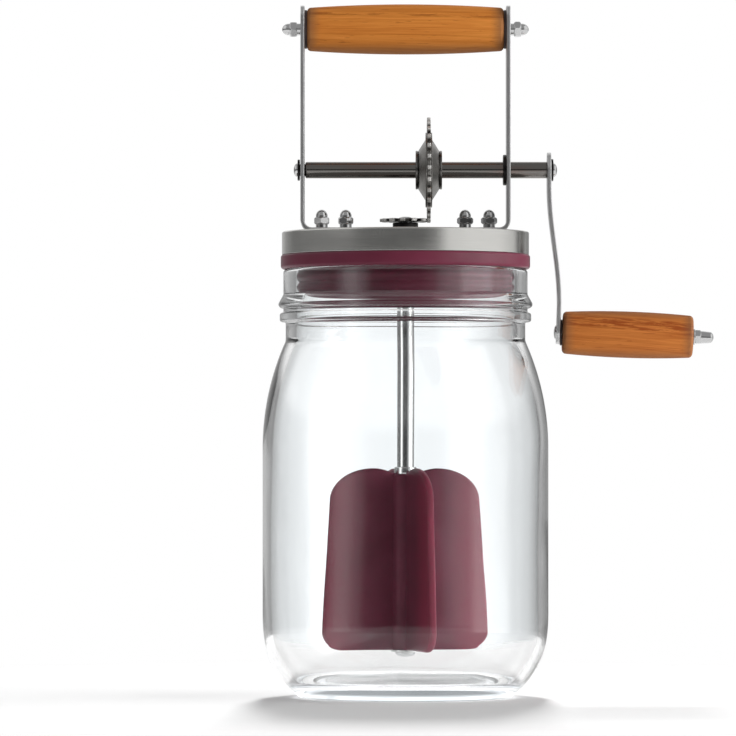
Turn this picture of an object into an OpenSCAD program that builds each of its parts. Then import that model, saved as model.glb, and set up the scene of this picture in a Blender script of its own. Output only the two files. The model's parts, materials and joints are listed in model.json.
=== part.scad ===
// Hand-cranked butter churn on a glass jar.
// Origin: jar axis on the table. +Z is up, +X points to the crank. All sizes in millimetres.

/* [Jar] */
// Outside diameter of the straight body
jar_d = 110.6; // [104:0.2:126]
// Height from the table to the top of the rim
jar_h = 165.6; // [140:0.2:210]
// Thickness of the glass wall
jar_wall = 3.5; // [2.5:0.1:4.5]
// Thickness of the glass floor above the table
jar_floor = 6; // [4.5:0.1:9]
// Outside diameter of the ring that stands on the table
foot_d = 82; // [72:0.5:88]
// Width of the standing ring
foot_w = 5; // [3:0.5:8]
// Bevel at the outer edge of the standing ring
foot_bevel = 1.9; // [0.5:0.1:3]
// Height of the hollow under the floor
punt_h = 2.4; // [1:0.1:3]
// Width of the slope round that hollow
punt_slope = 5; // [2:0.5:12]
// Profile radius of the heel, where the wall turns in to the foot
heel_r = 34; // [28:0.5:40]
// Profile radius of the shoulder
shoulder_r = 100; // [80:1:130]
// Clear diameter of the mouth
mouth_d = 85; // [76:0.2:96]
// Thickness of the glass at the plain neck
neck_wall = 3.9; // [3:0.1:5.5]
// Height of the plain neck, from the shoulder to the lower ring
neck_h = 7.4; // [4:0.2:14]
// Reach of the lower ring beyond the neck
ring_out = 2.3; // [1.2:0.1:4]
// Height of the lower ring
ring_h = 3.5; // [2:0.1:6]
// Bevel at the edges of the lower ring
ring_bevel = 0.6; // [0.2:0.1:0.9]
// Height of the groove between the lower ring and the bead
groove_h = 1.7; // [0.8:0.1:4]
// Reach of the bead beyond the wall at the rim
bead_out = 1.9; // [1:0.1:4]
// Height of the bead's round underside, below its widest line
bead_under_h = 1.6; // [0.8:0.1:2.4]
// Height of the bead's slope, above its widest line
bead_slope_h = 3.8; // [2.6:0.1:6]
// Height of the plain wall between the bead and the rim
rim_wall_h = 9.8; // [6:0.1:16]
// Thickness of the glass at the rim
rim_wall = 4.8; // [4.2:0.1:6]
// Rounding of the rim's edges
rim_round = 1.4; // [0.5:0.1:2]

/* [Lid] */
// Reach of the seal's flange beyond the rim
flange_out = 1; // [0:0.1:3]
// Height of the seal's flange between the rim and the cap
flange_h = 5.6; // [3:0.1:8]
// Distance of the cap's side inside the flange's edge
cap_inset = 0.45; // [0.4:0.05:1.5]
// Height of the steel cap
cap_h = 8.9; // [7:0.1:14]
// Thickness of the cap's sheet
cap_t = 0.9; // [0.6:0.1:1.4]
// Bend radius at the cap's top edge
cap_bend_r = 1; // [1:0.1:3]
// Depth of the seal's plug below the rim
plug_depth = 14.4; // [9:0.1:18]
// Depth of the seal's sealing ribs
rib_depth = 0.9; // [0.4:0.1:1.4]
// Number of sealing ribs on the plug
rib_count = 3; // [2:1:4]
// Gap between two sealing ribs
rib_gap = 2.15; // [1:0.05:2.5]
// Thickness of the plug behind its ribs
plug_wall = 4.6; // [3:0.1:10]
// Bevel at the edges of the flange and the plug
seal_bevel = 0.8; // [0.3:0.1:1]

/* [Frame] */
// Clear distance between the two brackets
frame_span = 78.2; // [72:0.2:80]
// Thickness of the bracket strip
strap_t = 1.5; // [1.4:0.1:2.4]
// Width of the bracket strip
strap_w = 16; // [13:0.5:20]
// Outside radius of the bend at the bracket's foot
strap_bend_r = 4.5; // [3:0.1:6]
// Radius of the bracket's top corners
strap_corner_r = 4; // [1:0.5:6]
// Distance from the bend to the corner of the first nut
nut_room = 0.5; // [0.1:0.1:1.5]
// Distance between the two screws of a bracket
screw_pitch = 9.3; // [8:0.1:10.5]
// Distance from the second screw to the end of the bracket's foot
foot_end = 4.7; // [3.4:0.1:6]
// Height of the handle's axis above the cap
handle_rise = 78.6; // [70:0.2:100]
// Height of the bracket above the handle's axis
strap_over = 8.9; // [6:0.1:12]

/* [Fasteners] */
// Thread diameter of the screws, tie rod and spindle
thread_d = 3; // [2.6:0.1:3.4]
// Width across the flats of the domed nuts
nut_af = 5.5; // [5:0.1:6.5]
// Height of a domed nut
nut_h = 7.2; // [6:0.1:9]
// Height of the round collar under a domed nut's hexagon
nut_collar_h = 1.5; // [0.5:0.1:2]
// Diameter of that collar
nut_collar_d = 4.6; // [4.2:0.1:5]
// Height of a domed nut's hexagon
nut_hex_h = 2.7; // [2:0.1:3.6]
// Bevel round both ends of the hexagon
nut_bevel = 0.6; // [0.2:0.1:0.7]
// Turn of the hexagon about the nut's axis
nut_turn = 24; // [0:1:59]
// Diameter of a domed nut's dome
nut_dome_d = 4.5; // [4.2:0.1:5]
// Thickness of the dome over a domed nut's thread
nut_crown_t = 1.6; // [1:0.1:2]
// Diameter of the screw heads under the cap
screw_head_d = 5.6; // [5:0.1:6.4]
// Height of the screw heads under the cap
screw_head_h = 2; // [1.4:0.1:2.6]
// Diameter of the washers under the screw heads
screw_washer_d = 7; // [6.6:0.1:7.6]
// Thickness of the washers under the screw heads
screw_washer_t = 0.6; // [0.4:0.1:1]
// Thread diameter of the small end screws
small_thread_d = 2.5; // [2:0.1:2.6]
// Thread length of the small end screws
small_thread_l = 8; // [6:0.5:10]

/* [Top handle] */
// Diameter of the handle at its middle
handle_d = 19.4; // [14:0.1:24]
// Diameter of the handle at its ends
handle_end_d = 16.9; // [12:0.1:18]
// Diameter of the washers at the handle's ends
handle_washer_d = 15; // [9:0.5:16]
// Thickness of the washers at the handle's ends
handle_washer_t = 1; // [0.5:0.1:2]

/* [Crank] */
// Diameter of the crank's axle
axle_d = 6.4; // [6:0.1:7]
// Height of the shoulder at the axle's left journal
journal_step = 0.9; // [0.8:0.05:1.1]
// Bevel at the axle's left shoulder
axle_bevel = 0.7; // [0.3:0.1:0.7]
// Outside diameter of the left bush
left_bush_d = 6.8; // [6.4:0.1:8]
// Outside diameter of the right bush
right_bush_d = 9; // [8.4:0.1:10]
// Diameter of the right bush's flange
right_flange_d = 11.9; // [11:0.1:14]
// Thickness of the right bush's flange
right_flange_t = 1.3; // [0.8:0.1:2.5]
// Diameter of the washer at the axle's left end
end_washer_d = 8.2; // [7.4:0.1:10]
// Thickness of the washers at the axle's two ends
end_washer_t = 0.9; // [0.5:0.1:1.5]
// Diameter of the domed heads at the axle's two ends
end_head_d = 5.2; // [4.4:0.1:6.5]
// Height of the domed heads at the axle's two ends
end_head_h = 1.5; // [1:0.1:2.5]
// Gap between the right bracket and the crank arm
arm_gap = 14.3; // [10:0.1:20]
// Thickness of the crank arm
arm_t = 1.5; // [1.2:0.1:3]
// Distance from the axle to the spindle
arm_l = 62.9; // [56:0.1:68]
// Outward set of the arm's lower end
arm_joggle = 3.9; // [1:0.1:6]
// Distance from the axle to the start of the set
arm_joggle_start = 6; // [5:0.5:10]
// Length of the sloping stretch of the arm
arm_joggle_l = 46; // [30:0.5:50]
// Inward lean of the arm's lower stretch, in degrees, which tips the grip down by as much
arm_lean = 1.9; // [0:0.1:4]
// Radius of the arm's upper end
arm_top_r = 6.8; // [5:0.1:8]
// Radius of the arm's lower end
arm_bottom_r = 4.6; // [3.4:0.1:6]
// Depth of the flats on the axle's square end, which carries the arm
axle_flat = 1.1; // [0.9:0.05:1.3]
// Diameter of the washer on the crank arm
arm_washer_d = 8.6; // [7.4:0.1:11]

/* [Crank grip] */
// Length of the crank grip
grip_l = 50.5; // [40:0.5:70]
// Diameter of the crank grip at its middle
grip_d = 18; // [14:0.1:24]
// Diameter of the crank grip at its ends
grip_end_d = 16.4; // [12:0.1:17]
// Rounding of the edges of both wooden grips
grip_round = 1.6; // [0.5:0.1:3]
// Diameter of the spindle in the grip
spindle_d = 4.5; // [4:0.1:6]
// Diameter of the spindle's riveted head
rivet_d = 5.9; // [5:0.1:7]
// Height of the spindle's riveted head
rivet_h = 1; // [0.6:0.1:2]
// Diameter of the washer between arm and grip
thrust_washer_d = 10; // [7:0.5:14]
// Thickness of the two washers at the grip's ends
grip_washer_t = 0.7; // [0.4:0.1:1.5]
// Diameter of the washer under the grip's nut
grip_end_washer_d = 6.2; // [6:0.1:9]

/* [Gears] */
// Teeth on the drive gear
gear_teeth = 28; // [24:1:34]
// Teeth on the pinion
pinion_teeth = 13; // [12:1:16]
// Distance between teeth along the pitch circles
tooth_pitch = 4.376; // [4.1:0.002:4.8]
// Reach of the teeth beyond the pitch circle
tooth_tip = 0.9; // [0.6:0.05:1.1]
// Depth of the teeth inside the pitch circle
tooth_root = 2.3; // [2:0.1:2.6]
// Width of a tooth at its tip
tooth_tip_w = 1.2; // [0.8:0.05:1.3]
// Width of a tooth at its root
tooth_root_w = 2; // [1.4:0.05:2.1]
// Thickness of the toothed disc
gear_t = 1.35; // [1:0.05:1.5]
// Thickness of the pinion
pinion_t = 1.2; // [0.9:0.05:1.4]
// Height of the pinion's middle above the cap
pinion_rise = 4.5; // [4:0.1:8]
// Thickness of the cheeks' sheet
cheek_t = 0.6; // [0.4:0.05:0.9]
// Outside diameter of the cheeks
cheek_d = 29; // [26:0.5:32]
// Diameter where the cheeks' flat rim ends
cheek_rim_d = 23.6; // [21:0.1:25]
// Diameter of the cheeks' flat bottom
cheek_bottom_d = 14.4; // [12:0.1:17]
// Distance from the disc's middle to the cheeks' outer face
cheek_out = 4.2; // [3.2:0.1:5.5]
// Diameter of the flanges beside the cheeks
gear_flange_d = 15; // [12:0.1:20]
// Thickness of the flanges beside the cheeks
gear_flange_t = 0.9; // [0.5:0.1:1.5]
// Outside diameter of the gear's hub sleeve
sleeve_d = 9; // [8.4:0.1:10]
// Diameter of the pin that locks the gear
gear_pin_d = 1.6; // [1:0.1:1.8]

/* [Dasher] */
// Diameter of the dasher shaft
shaft_d = 6.6; // [6:0.1:8]
// Diameter of the shaft's journal in the bush
shaft_journal_d = 5; // [4.9:0.1:5.4]
// Depth of the flats on the shaft's square end, which carries the pinion
shaft_flat = 0.8; // [0.75:0.05:0.95]
// Diameter of the bush's head on the cap
bush_head_d = 9.9; // [9.4:0.1:12]
// Outside diameter of the bush in the cap
bush_d = 8; // [7.4:0.1:8.8]
// Width across the flats of the nut under the cap
bush_nut_af = 12; // [11:0.1:14]
// Height of the nut under the cap
bush_nut_h = 3; // [2:0.1:4]
// Length of the bush that shows below its nut
bush_tail = 0.5; // [0.2:0.1:2]
// Height of the pinion screw's head
pinion_head_h = 0.9; // [0.6:0.1:1.5]
// Diameter of the collar above the paddle
collar_d = 8.6; // [8:0.1:12]
// Height of the collar above the paddle
collar_h = 3; // [2:0.1:6]
// Height of the paddle above the glass floor
paddle_gap = 12; // [6:0.5:20]
// Height of the paddle
paddle_h = 70.7; // [50:0.1:85]
// Diameter across the paddle at its bottom
paddle_bottom_d = 67.4; // [50:0.2:74]
// Diameter across the paddle at its shoulder
paddle_top_d = 61.2; // [46:0.2:74]
// Width of the vane's rounded outer shoulder
vane_shoulder_w = 17.6; // [8:0.2:22]
// Height of the vane's rounded outer shoulder
vane_shoulder_h = 12.6; // [6:0.2:24]
// Radius of the vane's lower corner
vane_corner_r = 8; // [2:0.5:10]
// Depth of the dip at the middle of the vane's top
vane_dip = 2.4; // [0:0.1:6]
// Thickness of a vane
vane_t = 3; // [2:0.1:5]
// Number of vanes
vane_count = 4; // [2:1:5]
// Turn of the vanes at rest
vane_turn = 18; // [0:1:45]
// Outside diameter of the paddle's hub
hub_d = 11.5; // [10:0.1:16]
// Diameter of the screw head under the paddle
paddle_head_d = 8; // [6:0.1:10]
// Height of the screw head under the paddle
paddle_head_h = 2.4; // [1.6:0.1:3]
// Thickness of the washer under the paddle
paddle_washer_t = 0.8; // [0.5:0.1:1.4]

/* [Clearances] */
// Radial clearance of turning journals
run_clear = 0.06; // [0.02:0.01:0.09]
// Radial clearance of seated pieces
seat_clear = 0.05; // [0.02:0.01:0.1]
// Radial clearance of drilled wood and of clearance holes
drill_clear = 0.2; // [0.1:0.05:0.4]
// Axial play beside turning pieces
end_play = 0.3; // [0.15:0.05:0.5]
// Radial clearance of the plug in the mouth
plug_clear = 0.3; // [0.2:0.05:0.6]
// Gap between the screw washers and the seal
seal_gap = 1.5; // [0.5:0.1:2]

/* [Hidden] */
$fn = 96;

// Colours
GLASS = [0.85, 0.92, 0.93, 0.35];
LID_STEEL = [0.72, 0.72, 0.71];
STRAP_STEEL = [0.58, 0.59, 0.60];
DARK_STEEL = [0.20, 0.20, 0.21];
BRIGHT_STEEL = [0.85, 0.85, 0.86];
PLUM = [0.38, 0.13, 0.20];
WOOD = [0.80, 0.48, 0.21];
DARK_WASHER = [0.15, 0.10, 0.10];

// Steps in a rounded corner, a long curve and a small edge of an outline
ARC_STEPS = 10;
LONG_STEPS = 20;
EDGE_STEPS = 6;
// How far a cut runs past the face it opens
CUT = 1;
// Least radius inside the cap's bend
CAP_LEAST_BEND = 0.1;
// Share of a domed head's height that is a straight edge
HEAD_EDGE = 0.2;

// Jar levels and radii
jar_r = jar_d / 2;
foot_r = foot_d / 2;
mouth_r = mouth_d / 2;
neck_r = mouth_r + neck_wall;
ring_r = neck_r + ring_out;
rim_r = mouth_r + rim_wall;
heel_x = jar_r - heel_r;
heel_z = foot_bevel + sqrt(heel_r ^ 2 - (foot_r + foot_bevel - heel_x) ^ 2);
bead_z = jar_h - rim_wall_h - bead_slope_h;
bead_turn = asin(bead_under_h / bead_slope_h);
ring_top = bead_z - bead_under_h - groove_h;
neck_top = ring_top - ring_h;
neck_z = neck_top - neck_h;
shoulder_x = jar_r - shoulder_r;
shoulder_angle = acos((neck_r - shoulder_x) / shoulder_r);
shoulder_z = neck_z - shoulder_r * sin(shoulder_angle);

// Lid levels and radii
cap_z = jar_h + flange_h;
lid_top = cap_z + cap_h;
cap_under = lid_top - cap_t;
flange_r = rim_r + flange_out;
cap_r = flange_r - cap_inset;
strap_x = frame_span / 2 + strap_t;
nut_corner_r = nut_af / 2 / cos(30);
screw_x = strap_x - strap_bend_r - nut_room - nut_corner_r;
screw_xs = [screw_x, screw_x - screw_pitch];
foot_x = screw_x - screw_pitch - foot_end;
foot_top = lid_top + strap_t;
plug_r = mouth_r - plug_clear;
handle_z = lid_top + handle_rise;
nut_depth = nut_h - nut_crown_t;

// Gear train
gear_r = gear_teeth * tooth_pitch / (2 * PI);
pinion_r = pinion_teeth * tooth_pitch / (2 * PI);
pinion_z = lid_top + pinion_rise;
axle_z = pinion_z + gear_r;
gear_x = pinion_r;
hub_half = cheek_out + gear_flange_t;
gear_pin_x = gear_x + (gear_t / 2 + cheek_out - cheek_t) / 2;

// Crank stations along X
journal_d = axle_d - 2 * journal_step;
square_end = axle_d - 2 * axle_flat;
axle_left = -frame_span / 2 + end_play;
journal_left = -strap_x - end_play;
arm_x = strap_x + arm_gap;
arm_slope_z = axle_z - arm_joggle_start;
arm_lean_z = arm_slope_z - arm_joggle_l;
grip_z = axle_z - arm_l;
spindle_x = arm_x + arm_joggle - (arm_lean_z - grip_z) * tan(arm_lean);

// Crank stations along the spindle, from the arm's inner face
spindle_seat = arm_t * cos(arm_lean);
grip_start = spindle_seat + grip_washer_t + end_play / 2;
spindle_end = grip_start + grip_l + end_play / 2;

// Dasher levels
pinion_square = shaft_journal_d - 2 * shaft_flat;
bush_top = pinion_z - pinion_t / 2 - end_play;
bush_bottom = cap_under - bush_nut_h - bush_tail;
shaft_shoulder = bush_bottom - end_play;
paddle_z = jar_floor + paddle_gap;
hub_top = paddle_z + paddle_h - vane_dip;

// Points on an arc about c, from angle a to angle b
function arc(c, r, a, b, steps = ARC_STEPS) =
    [for (i = [0:steps]) let (t = a + (b - a) * i / steps) c + r * [cos(t), sin(t)]];

// Points on an ellipse about c with half-axes rx and ry
function oval(c, rx, ry, a, b, steps = ARC_STEPS) =
    [for (i = [0:steps]) let (t = a + (b - a) * i / steps) c + [rx * cos(t), ry * sin(t)]];

// Turns a shape built up along Z so that it runs along +X from x, on an axis at height z
module along_x(x, z) {
    translate([x, 0, z]) rotate([0, 90, 0]) children();
}

// The same, running along -X
module along_minus_x(x, z) {
    translate([x, 0, z]) rotate([0, -90, 0]) children();
}

// Puts a shape built up along Z on the spindle's axis, at a distance from the arm's inner face
module on_spindle(distance) {
    translate([spindle_x, 0, grip_z]) rotate([0, 90 + arm_lean, 0])
        translate([0, 0, distance]) children();
}

// Flat round washer on the XY plane
module washer(d, bore, t) {
    difference() {
        cylinder(d = d, h = t);
        translate([0, 0, -CUT]) cylinder(d = bore, h = t + 2 * CUT);
    }
}

// Screw with its domed head on the XY plane and its thread running down
module domed_screw(head_d, head_h, d, l) {
    straight = head_h * HEAD_EDGE;
    rotate_extrude()
        polygon(concat([[0, -l], [d / 2, -l], [d / 2, 0], [head_d / 2, 0]],
                       oval([0, straight], head_d / 2, head_h - straight, 0, 90)));
}

// Domed nut on the XY plane: round collar, bevelled hexagon, dome and a blind thread
module domed_nut() {
    dome_r = nut_dome_d / 2;
    hex_top = nut_collar_h + nut_hex_h;
    hex_end_r = nut_corner_r - nut_bevel;
    hex_middle = [hex_end_r + nut_hex_h / 2, nut_collar_h + nut_hex_h / 2];
    straight = (nut_h - hex_top) * HEAD_EDGE;
    difference() {
        union() {
            cylinder(d = nut_collar_d, h = hex_top);
            intersection() {
                translate([0, 0, nut_collar_h]) rotate([0, 0, nut_turn])
                    cylinder(r = nut_corner_r, h = nut_hex_h, $fn = 6);
                rotate_extrude()
                    polygon([[0, nut_collar_h], [hex_end_r, nut_collar_h], hex_middle,
                             [hex_end_r, hex_top], [0, hex_top]]);
            }
            rotate_extrude()
                polygon(concat([[0, hex_top - straight], [dome_r, hex_top - straight]],
                               oval([0, hex_top + straight], dome_r, nut_h - hex_top - straight, 0, 90)));
        }
        translate([0, 0, -CUT]) cylinder(d = thread_d + 2 * seat_clear, h = nut_depth + CUT);
    }
}

// Barrel of turned wood with rounded edges, bored along its axis, standing on the XY plane
module wooden_barrel(l, mid_d, end_d, bore) {
    end_r = end_d / 2;
    swell = (mid_d - end_d) / 2;
    half = l / 2 - grip_round;
    side = [for (i = [1 - LONG_STEPS:LONG_STEPS - 1]) let (u = i / LONG_STEPS)
        [end_r + swell * (1 - u * u), l / 2 + u * half]];
    difference() {
        rotate_extrude()
            polygon(concat(
                [[0, 0]],
                arc([end_r - grip_round, grip_round], grip_round, -90, 0),
                side,
                arc([end_r - grip_round, l - grip_round], grip_round, 0, 90),
                [[0, l]]));
        translate([0, 0, -CUT]) cylinder(d = bore, h = l + 2 * CUT);
    }
}

// Toothed disc on the XY plane, with a tooth at each multiple of the step plus the start
module toothed_disc(teeth, pitch_r, t, start) {
    tip_r = pitch_r + tooth_tip;
    root_r = pitch_r - tooth_root;
    step = 360 / teeth;
    tip_a = tooth_tip_w / 2 / tip_r * 180 / PI;
    root_a = tooth_root_w / 2 / root_r * 180 / PI;
    linear_extrude(height = t, center = true)
        polygon([for (i = [0:teeth - 1], k = [[-root_a, root_r], [-tip_a, tip_r],
                                              [tip_a, tip_r], [root_a, root_r]])
            k[1] * [cos(start + i * step + k[0]), sin(start + i * step + k[0])]]);
}

// Clear glass jar: heel, straight body, round shoulder, ringed neck, plain mouth, hollow base
module glass_jar() {
    inner_heel = heel_r - jar_wall;
    inner_shoulder = shoulder_r - jar_wall;
    foot_angle = acos((foot_r + foot_bevel - heel_x) / heel_r);
    floor_angle = asin((heel_z - jar_floor) / inner_heel);
    mouth_angle = acos((mouth_r - shoulder_x) / inner_shoulder);
    punt_r = foot_r - foot_w;
    color(GLASS) rotate_extrude()
        polygon(concat(
            [[0, punt_h], [punt_r - punt_slope, punt_h], [punt_r, 0], [foot_r, 0]],
            arc([heel_x, heel_z], heel_r, -foot_angle, 0, LONG_STEPS),
            arc([shoulder_x, shoulder_z], shoulder_r, 0, shoulder_angle, LONG_STEPS),
            [[neck_r, neck_top], [ring_r - ring_bevel, neck_top], [ring_r, neck_top + ring_bevel],
             [ring_r, ring_top - ring_bevel], [ring_r - ring_bevel, ring_top], [rim_r, ring_top]],
            oval([rim_r, bead_z], bead_out, bead_under_h, -90, bead_turn),
            [[rim_r, bead_z + bead_slope_h]],
            arc([rim_r - rim_round, jar_h - rim_round], rim_round, 0, 90, EDGE_STEPS),
            arc([mouth_r + rim_round, jar_h - rim_round], rim_round, 90, 180, EDGE_STEPS),
            arc([shoulder_x, shoulder_z], inner_shoulder, mouth_angle, 0, LONG_STEPS),
            arc([heel_x, heel_z], inner_heel, 0, -floor_angle, LONG_STEPS),
            [[0, jar_floor]]));
}

// Shallow pressed steel cap with holes for the bracket screws and the shaft bush
module lid_cap() {
    inner_bend = max(cap_bend_r - cap_t, CAP_LEAST_BEND);
    color(LID_STEEL) difference() {
        rotate_extrude()
            polygon(concat(
                [[cap_r - cap_t, cap_z], [cap_r, cap_z]],
                arc([cap_r - cap_bend_r, lid_top - cap_bend_r], cap_bend_r, 0, 90, EDGE_STEPS),
                [[0, lid_top], [0, cap_under]],
                arc([cap_r - cap_t - inner_bend, cap_under - inner_bend], inner_bend, 90, 0, EDGE_STEPS)));
        translate([0, 0, cap_under - CUT])
            cylinder(d = bush_d + 2 * seat_clear, h = cap_t + 2 * CUT);
        for (x = screw_xs, side = [-1, 1])
            translate([side * x, 0, cap_under - CUT])
                cylinder(d = thread_d + 2 * drill_clear, h = cap_t + 2 * CUT);
    }
}

// Soft stopper: ribbed plug in the mouth, flange on the rim, spigot up inside the cap,
// with a recess at the top that clears the screw heads
module lid_seal() {
    bottom = jar_h - plug_depth;
    body_r = plug_r - rib_depth;
    bore_r = body_r - plug_wall;
    recess_r = screw_x + screw_washer_d / 2 + seal_gap;
    recess_z = cap_under - screw_washer_t - screw_head_h - seal_gap;
    spigot_r = cap_r - cap_t - seat_clear;
    corner = max(cap_bend_r - cap_t, CAP_LEAST_BEND);
    rib_start = bottom + seal_bevel;
    rib_h = (jar_h - rim_round - rib_start - (rib_count - 1) * rib_gap) / rib_count;
    color(PLUM) rotate_extrude()
        polygon(concat(
            [[bore_r, bottom], [body_r - seal_bevel, bottom], [body_r, rib_start]],
            [for (i = [0:rib_count - 1], p = oval([body_r, rib_start + rib_h / 2 + i * (rib_h + rib_gap)],
                                                  rib_depth, rib_h / 2, -90, 90)) p],
            [[body_r, jar_h], [flange_r - seal_bevel, jar_h], [flange_r, jar_h + seal_bevel],
             [flange_r, cap_z - seal_bevel], [flange_r - seal_bevel, cap_z], [spigot_r, cap_z],
             [spigot_r, cap_under - corner], [spigot_r - corner, cap_under],
             [recess_r, cap_under], [recess_r, recess_z], [bore_r, recess_z]]));
}

// Right bracket: strip bent outwards from a foot on the cap, rounded at the top
module bracket(axle_hole) {
    top = handle_z + strap_over;
    bend = [strap_x - strap_bend_r, lid_top + strap_bend_r];
    half_w = strap_w / 2;
    side_profile = concat(
        [[foot_x, lid_top]],
        arc(bend, strap_bend_r, -90, 0),
        [[strap_x, top], [strap_x - strap_t, top]],
        arc(bend, strap_bend_r - strap_t, 0, -90),
        [[foot_x, foot_top]]);
    front_profile = concat(
        [[-half_w, lid_top - CUT], [half_w, lid_top - CUT]],
        arc([half_w - strap_corner_r, top - strap_corner_r], strap_corner_r, 0, 90),
        arc([strap_corner_r - half_w, top - strap_corner_r], strap_corner_r, 90, 180));
    difference() {
        intersection() {
            translate([0, half_w, 0]) rotate([90, 0, 0])
                linear_extrude(height = strap_w) polygon(side_profile);
            rotate([90, 0, 90])
                linear_extrude(height = strap_x + CUT) polygon(front_profile);
        }
        along_x(strap_x - strap_t - CUT, axle_z) cylinder(d = axle_hole, h = strap_t + 2 * CUT);
        along_x(strap_x - strap_t - CUT, handle_z)
            cylinder(d = thread_d + 2 * drill_clear, h = strap_t + 2 * CUT);
        for (x = screw_xs)
            translate([x, 0, lid_top - CUT])
                cylinder(d = thread_d + 2 * drill_clear, h = strap_t + 2 * CUT);
    }
}

module left_bracket() {
    color(STRAP_STEEL) mirror([1, 0, 0]) bracket(left_bush_d + 2 * seat_clear);
}

module right_bracket() {
    color(STRAP_STEEL) bracket(right_bush_d + 2 * seat_clear);
}

// Repeats a piece at the four bracket screws, at height z
module at_bracket_screws(z) {
    for (x = screw_xs, side = [-1, 1])
        translate([side * x, 0, z]) children();
}

// Four screws with their heads under the cap
module bracket_screws() {
    grip = screw_washer_t + cap_t + strap_t + nut_depth - end_play;
    color(BRIGHT_STEEL) at_bracket_screws(cap_under - screw_washer_t) mirror([0, 0, 1])
        domed_screw(screw_head_d, screw_head_h, thread_d, grip);
}

module screw_washers() {
    color(DARK_WASHER) at_bracket_screws(cap_under - screw_washer_t)
        washer(screw_washer_d, thread_d + 2 * seat_clear, screw_washer_t);
}

module bracket_nuts() {
    color(BRIGHT_STEEL) at_bracket_screws(foot_top) domed_nut();
}

// Turned wooden handle between the brackets
module handle_grip() {
    l = frame_span - 2 * handle_washer_t;
    color(WOOD) along_x(-l / 2, handle_z)
        wooden_barrel(l, handle_d, handle_end_d, thread_d + 2 * drill_clear);
}

// Threaded rod through the handle and both brackets, into the two domed nuts
module handle_tie_rod() {
    half = strap_x + nut_depth - end_play;
    color(BRIGHT_STEEL) along_x(-half, handle_z) cylinder(d = thread_d, h = 2 * half);
}

module handle_washers() {
    bore = thread_d + 2 * drill_clear;
    color(DARK_WASHER) {
        along_x(frame_span / 2 - handle_washer_t, handle_z)
            washer(handle_washer_d, bore, handle_washer_t);
        along_minus_x(-frame_span / 2 + handle_washer_t, handle_z)
            washer(handle_washer_d, bore, handle_washer_t);
    }
}

module handle_nuts() {
    color(BRIGHT_STEEL) {
        along_x(strap_x, handle_z) domed_nut();
        along_minus_x(-strap_x, handle_z) domed_nut();
    }
}

// Plain bush in the left bracket, around the axle's journal
module left_axle_bush() {
    color(DARK_STEEL) along_minus_x(-strap_x + strap_t, axle_z)
        washer(left_bush_d, journal_d + 2 * run_clear, strap_t);
}

// Flanged bush in the right bracket, around the axle
module right_axle_bush() {
    inner_face = strap_x - strap_t;
    color(DARK_STEEL) along_x(inner_face - right_flange_t, axle_z) difference() {
        union() {
            cylinder(d = right_flange_d, h = right_flange_t);
            cylinder(d = right_bush_d, h = right_flange_t + strap_t);
        }
        translate([0, 0, -CUT])
            cylinder(d = axle_d + 2 * run_clear, h = right_flange_t + strap_t + 2 * CUT);
    }
}

// Bush for the dasher shaft: head on the cap, sleeve through it
module shaft_bush() {
    color(DARK_STEEL) difference() {
        union() {
            translate([0, 0, lid_top]) cylinder(d = bush_head_d, h = bush_top - lid_top);
            translate([0, 0, bush_bottom]) cylinder(d = bush_d, h = bush_top - bush_bottom);
        }
        translate([0, 0, bush_bottom - CUT])
            cylinder(d = shaft_journal_d + 2 * run_clear, h = bush_top - bush_bottom + 2 * CUT);
    }
}

module shaft_bush_nut() {
    color(BRIGHT_STEEL) translate([0, 0, cap_under - bush_nut_h]) difference() {
        cylinder(d = bush_nut_af / cos(30), h = bush_nut_h, $fn = 6);
        translate([0, 0, -CUT]) cylinder(d = bush_d + 2 * seat_clear, h = bush_nut_h + 2 * CUT);
    }
}

// Axle: journal on the left, plain rod, square end for the arm, tapped at both ends
module crank_axle() {
    r = axle_d / 2;
    journal_l = axle_left - journal_left;
    rod_l = arm_x - journal_left;
    square_l = arm_t - end_play / 2;
    tap_d = small_thread_d + 2 * seat_clear;
    tap_l = small_thread_l + CUT;
    color(DARK_STEEL) difference() {
        union() {
            along_x(journal_left, axle_z) rotate_extrude()
                polygon([[0, 0], [journal_d / 2, 0], [journal_d / 2, journal_l],
                         [r - axle_bevel, journal_l], [r, journal_l + axle_bevel],
                         [r, rod_l], [0, rod_l]]);
            translate([arm_x - CUT, -square_end / 2, axle_z - square_end / 2])
                cube([square_l + CUT, square_end, square_end]);
        }
        along_x(journal_left - CUT, axle_z) cylinder(d = tap_d, h = tap_l + CUT);
        along_x(arm_x + arm_t - tap_l, axle_z) cylinder(d = tap_d, h = tap_l + CUT);
        translate([gear_pin_x, 0, axle_z - axle_d])
            cylinder(d = gear_pin_d + 2 * seat_clear, h = 2 * axle_d);
    }
}

module axle_end_washer() {
    color(DARK_STEEL) along_minus_x(journal_left, axle_z)
        washer(end_washer_d, small_thread_d + 2 * seat_clear, end_washer_t);
}

module axle_end_screw() {
    color(BRIGHT_STEEL) along_minus_x(journal_left - end_washer_t, axle_z)
        domed_screw(end_head_d, end_head_h, small_thread_d, small_thread_l);
}

// Toothed disc of the drive gear, with one tooth pointing straight down
module drive_gear() {
    color(DARK_STEEL) along_x(gear_x, axle_z) difference() {
        toothed_disc(gear_teeth, gear_r, gear_t, 0);
        translate([0, 0, -gear_t]) cylinder(d = sleeve_d + 2 * seat_clear, h = 2 * gear_t);
    }
}

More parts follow.
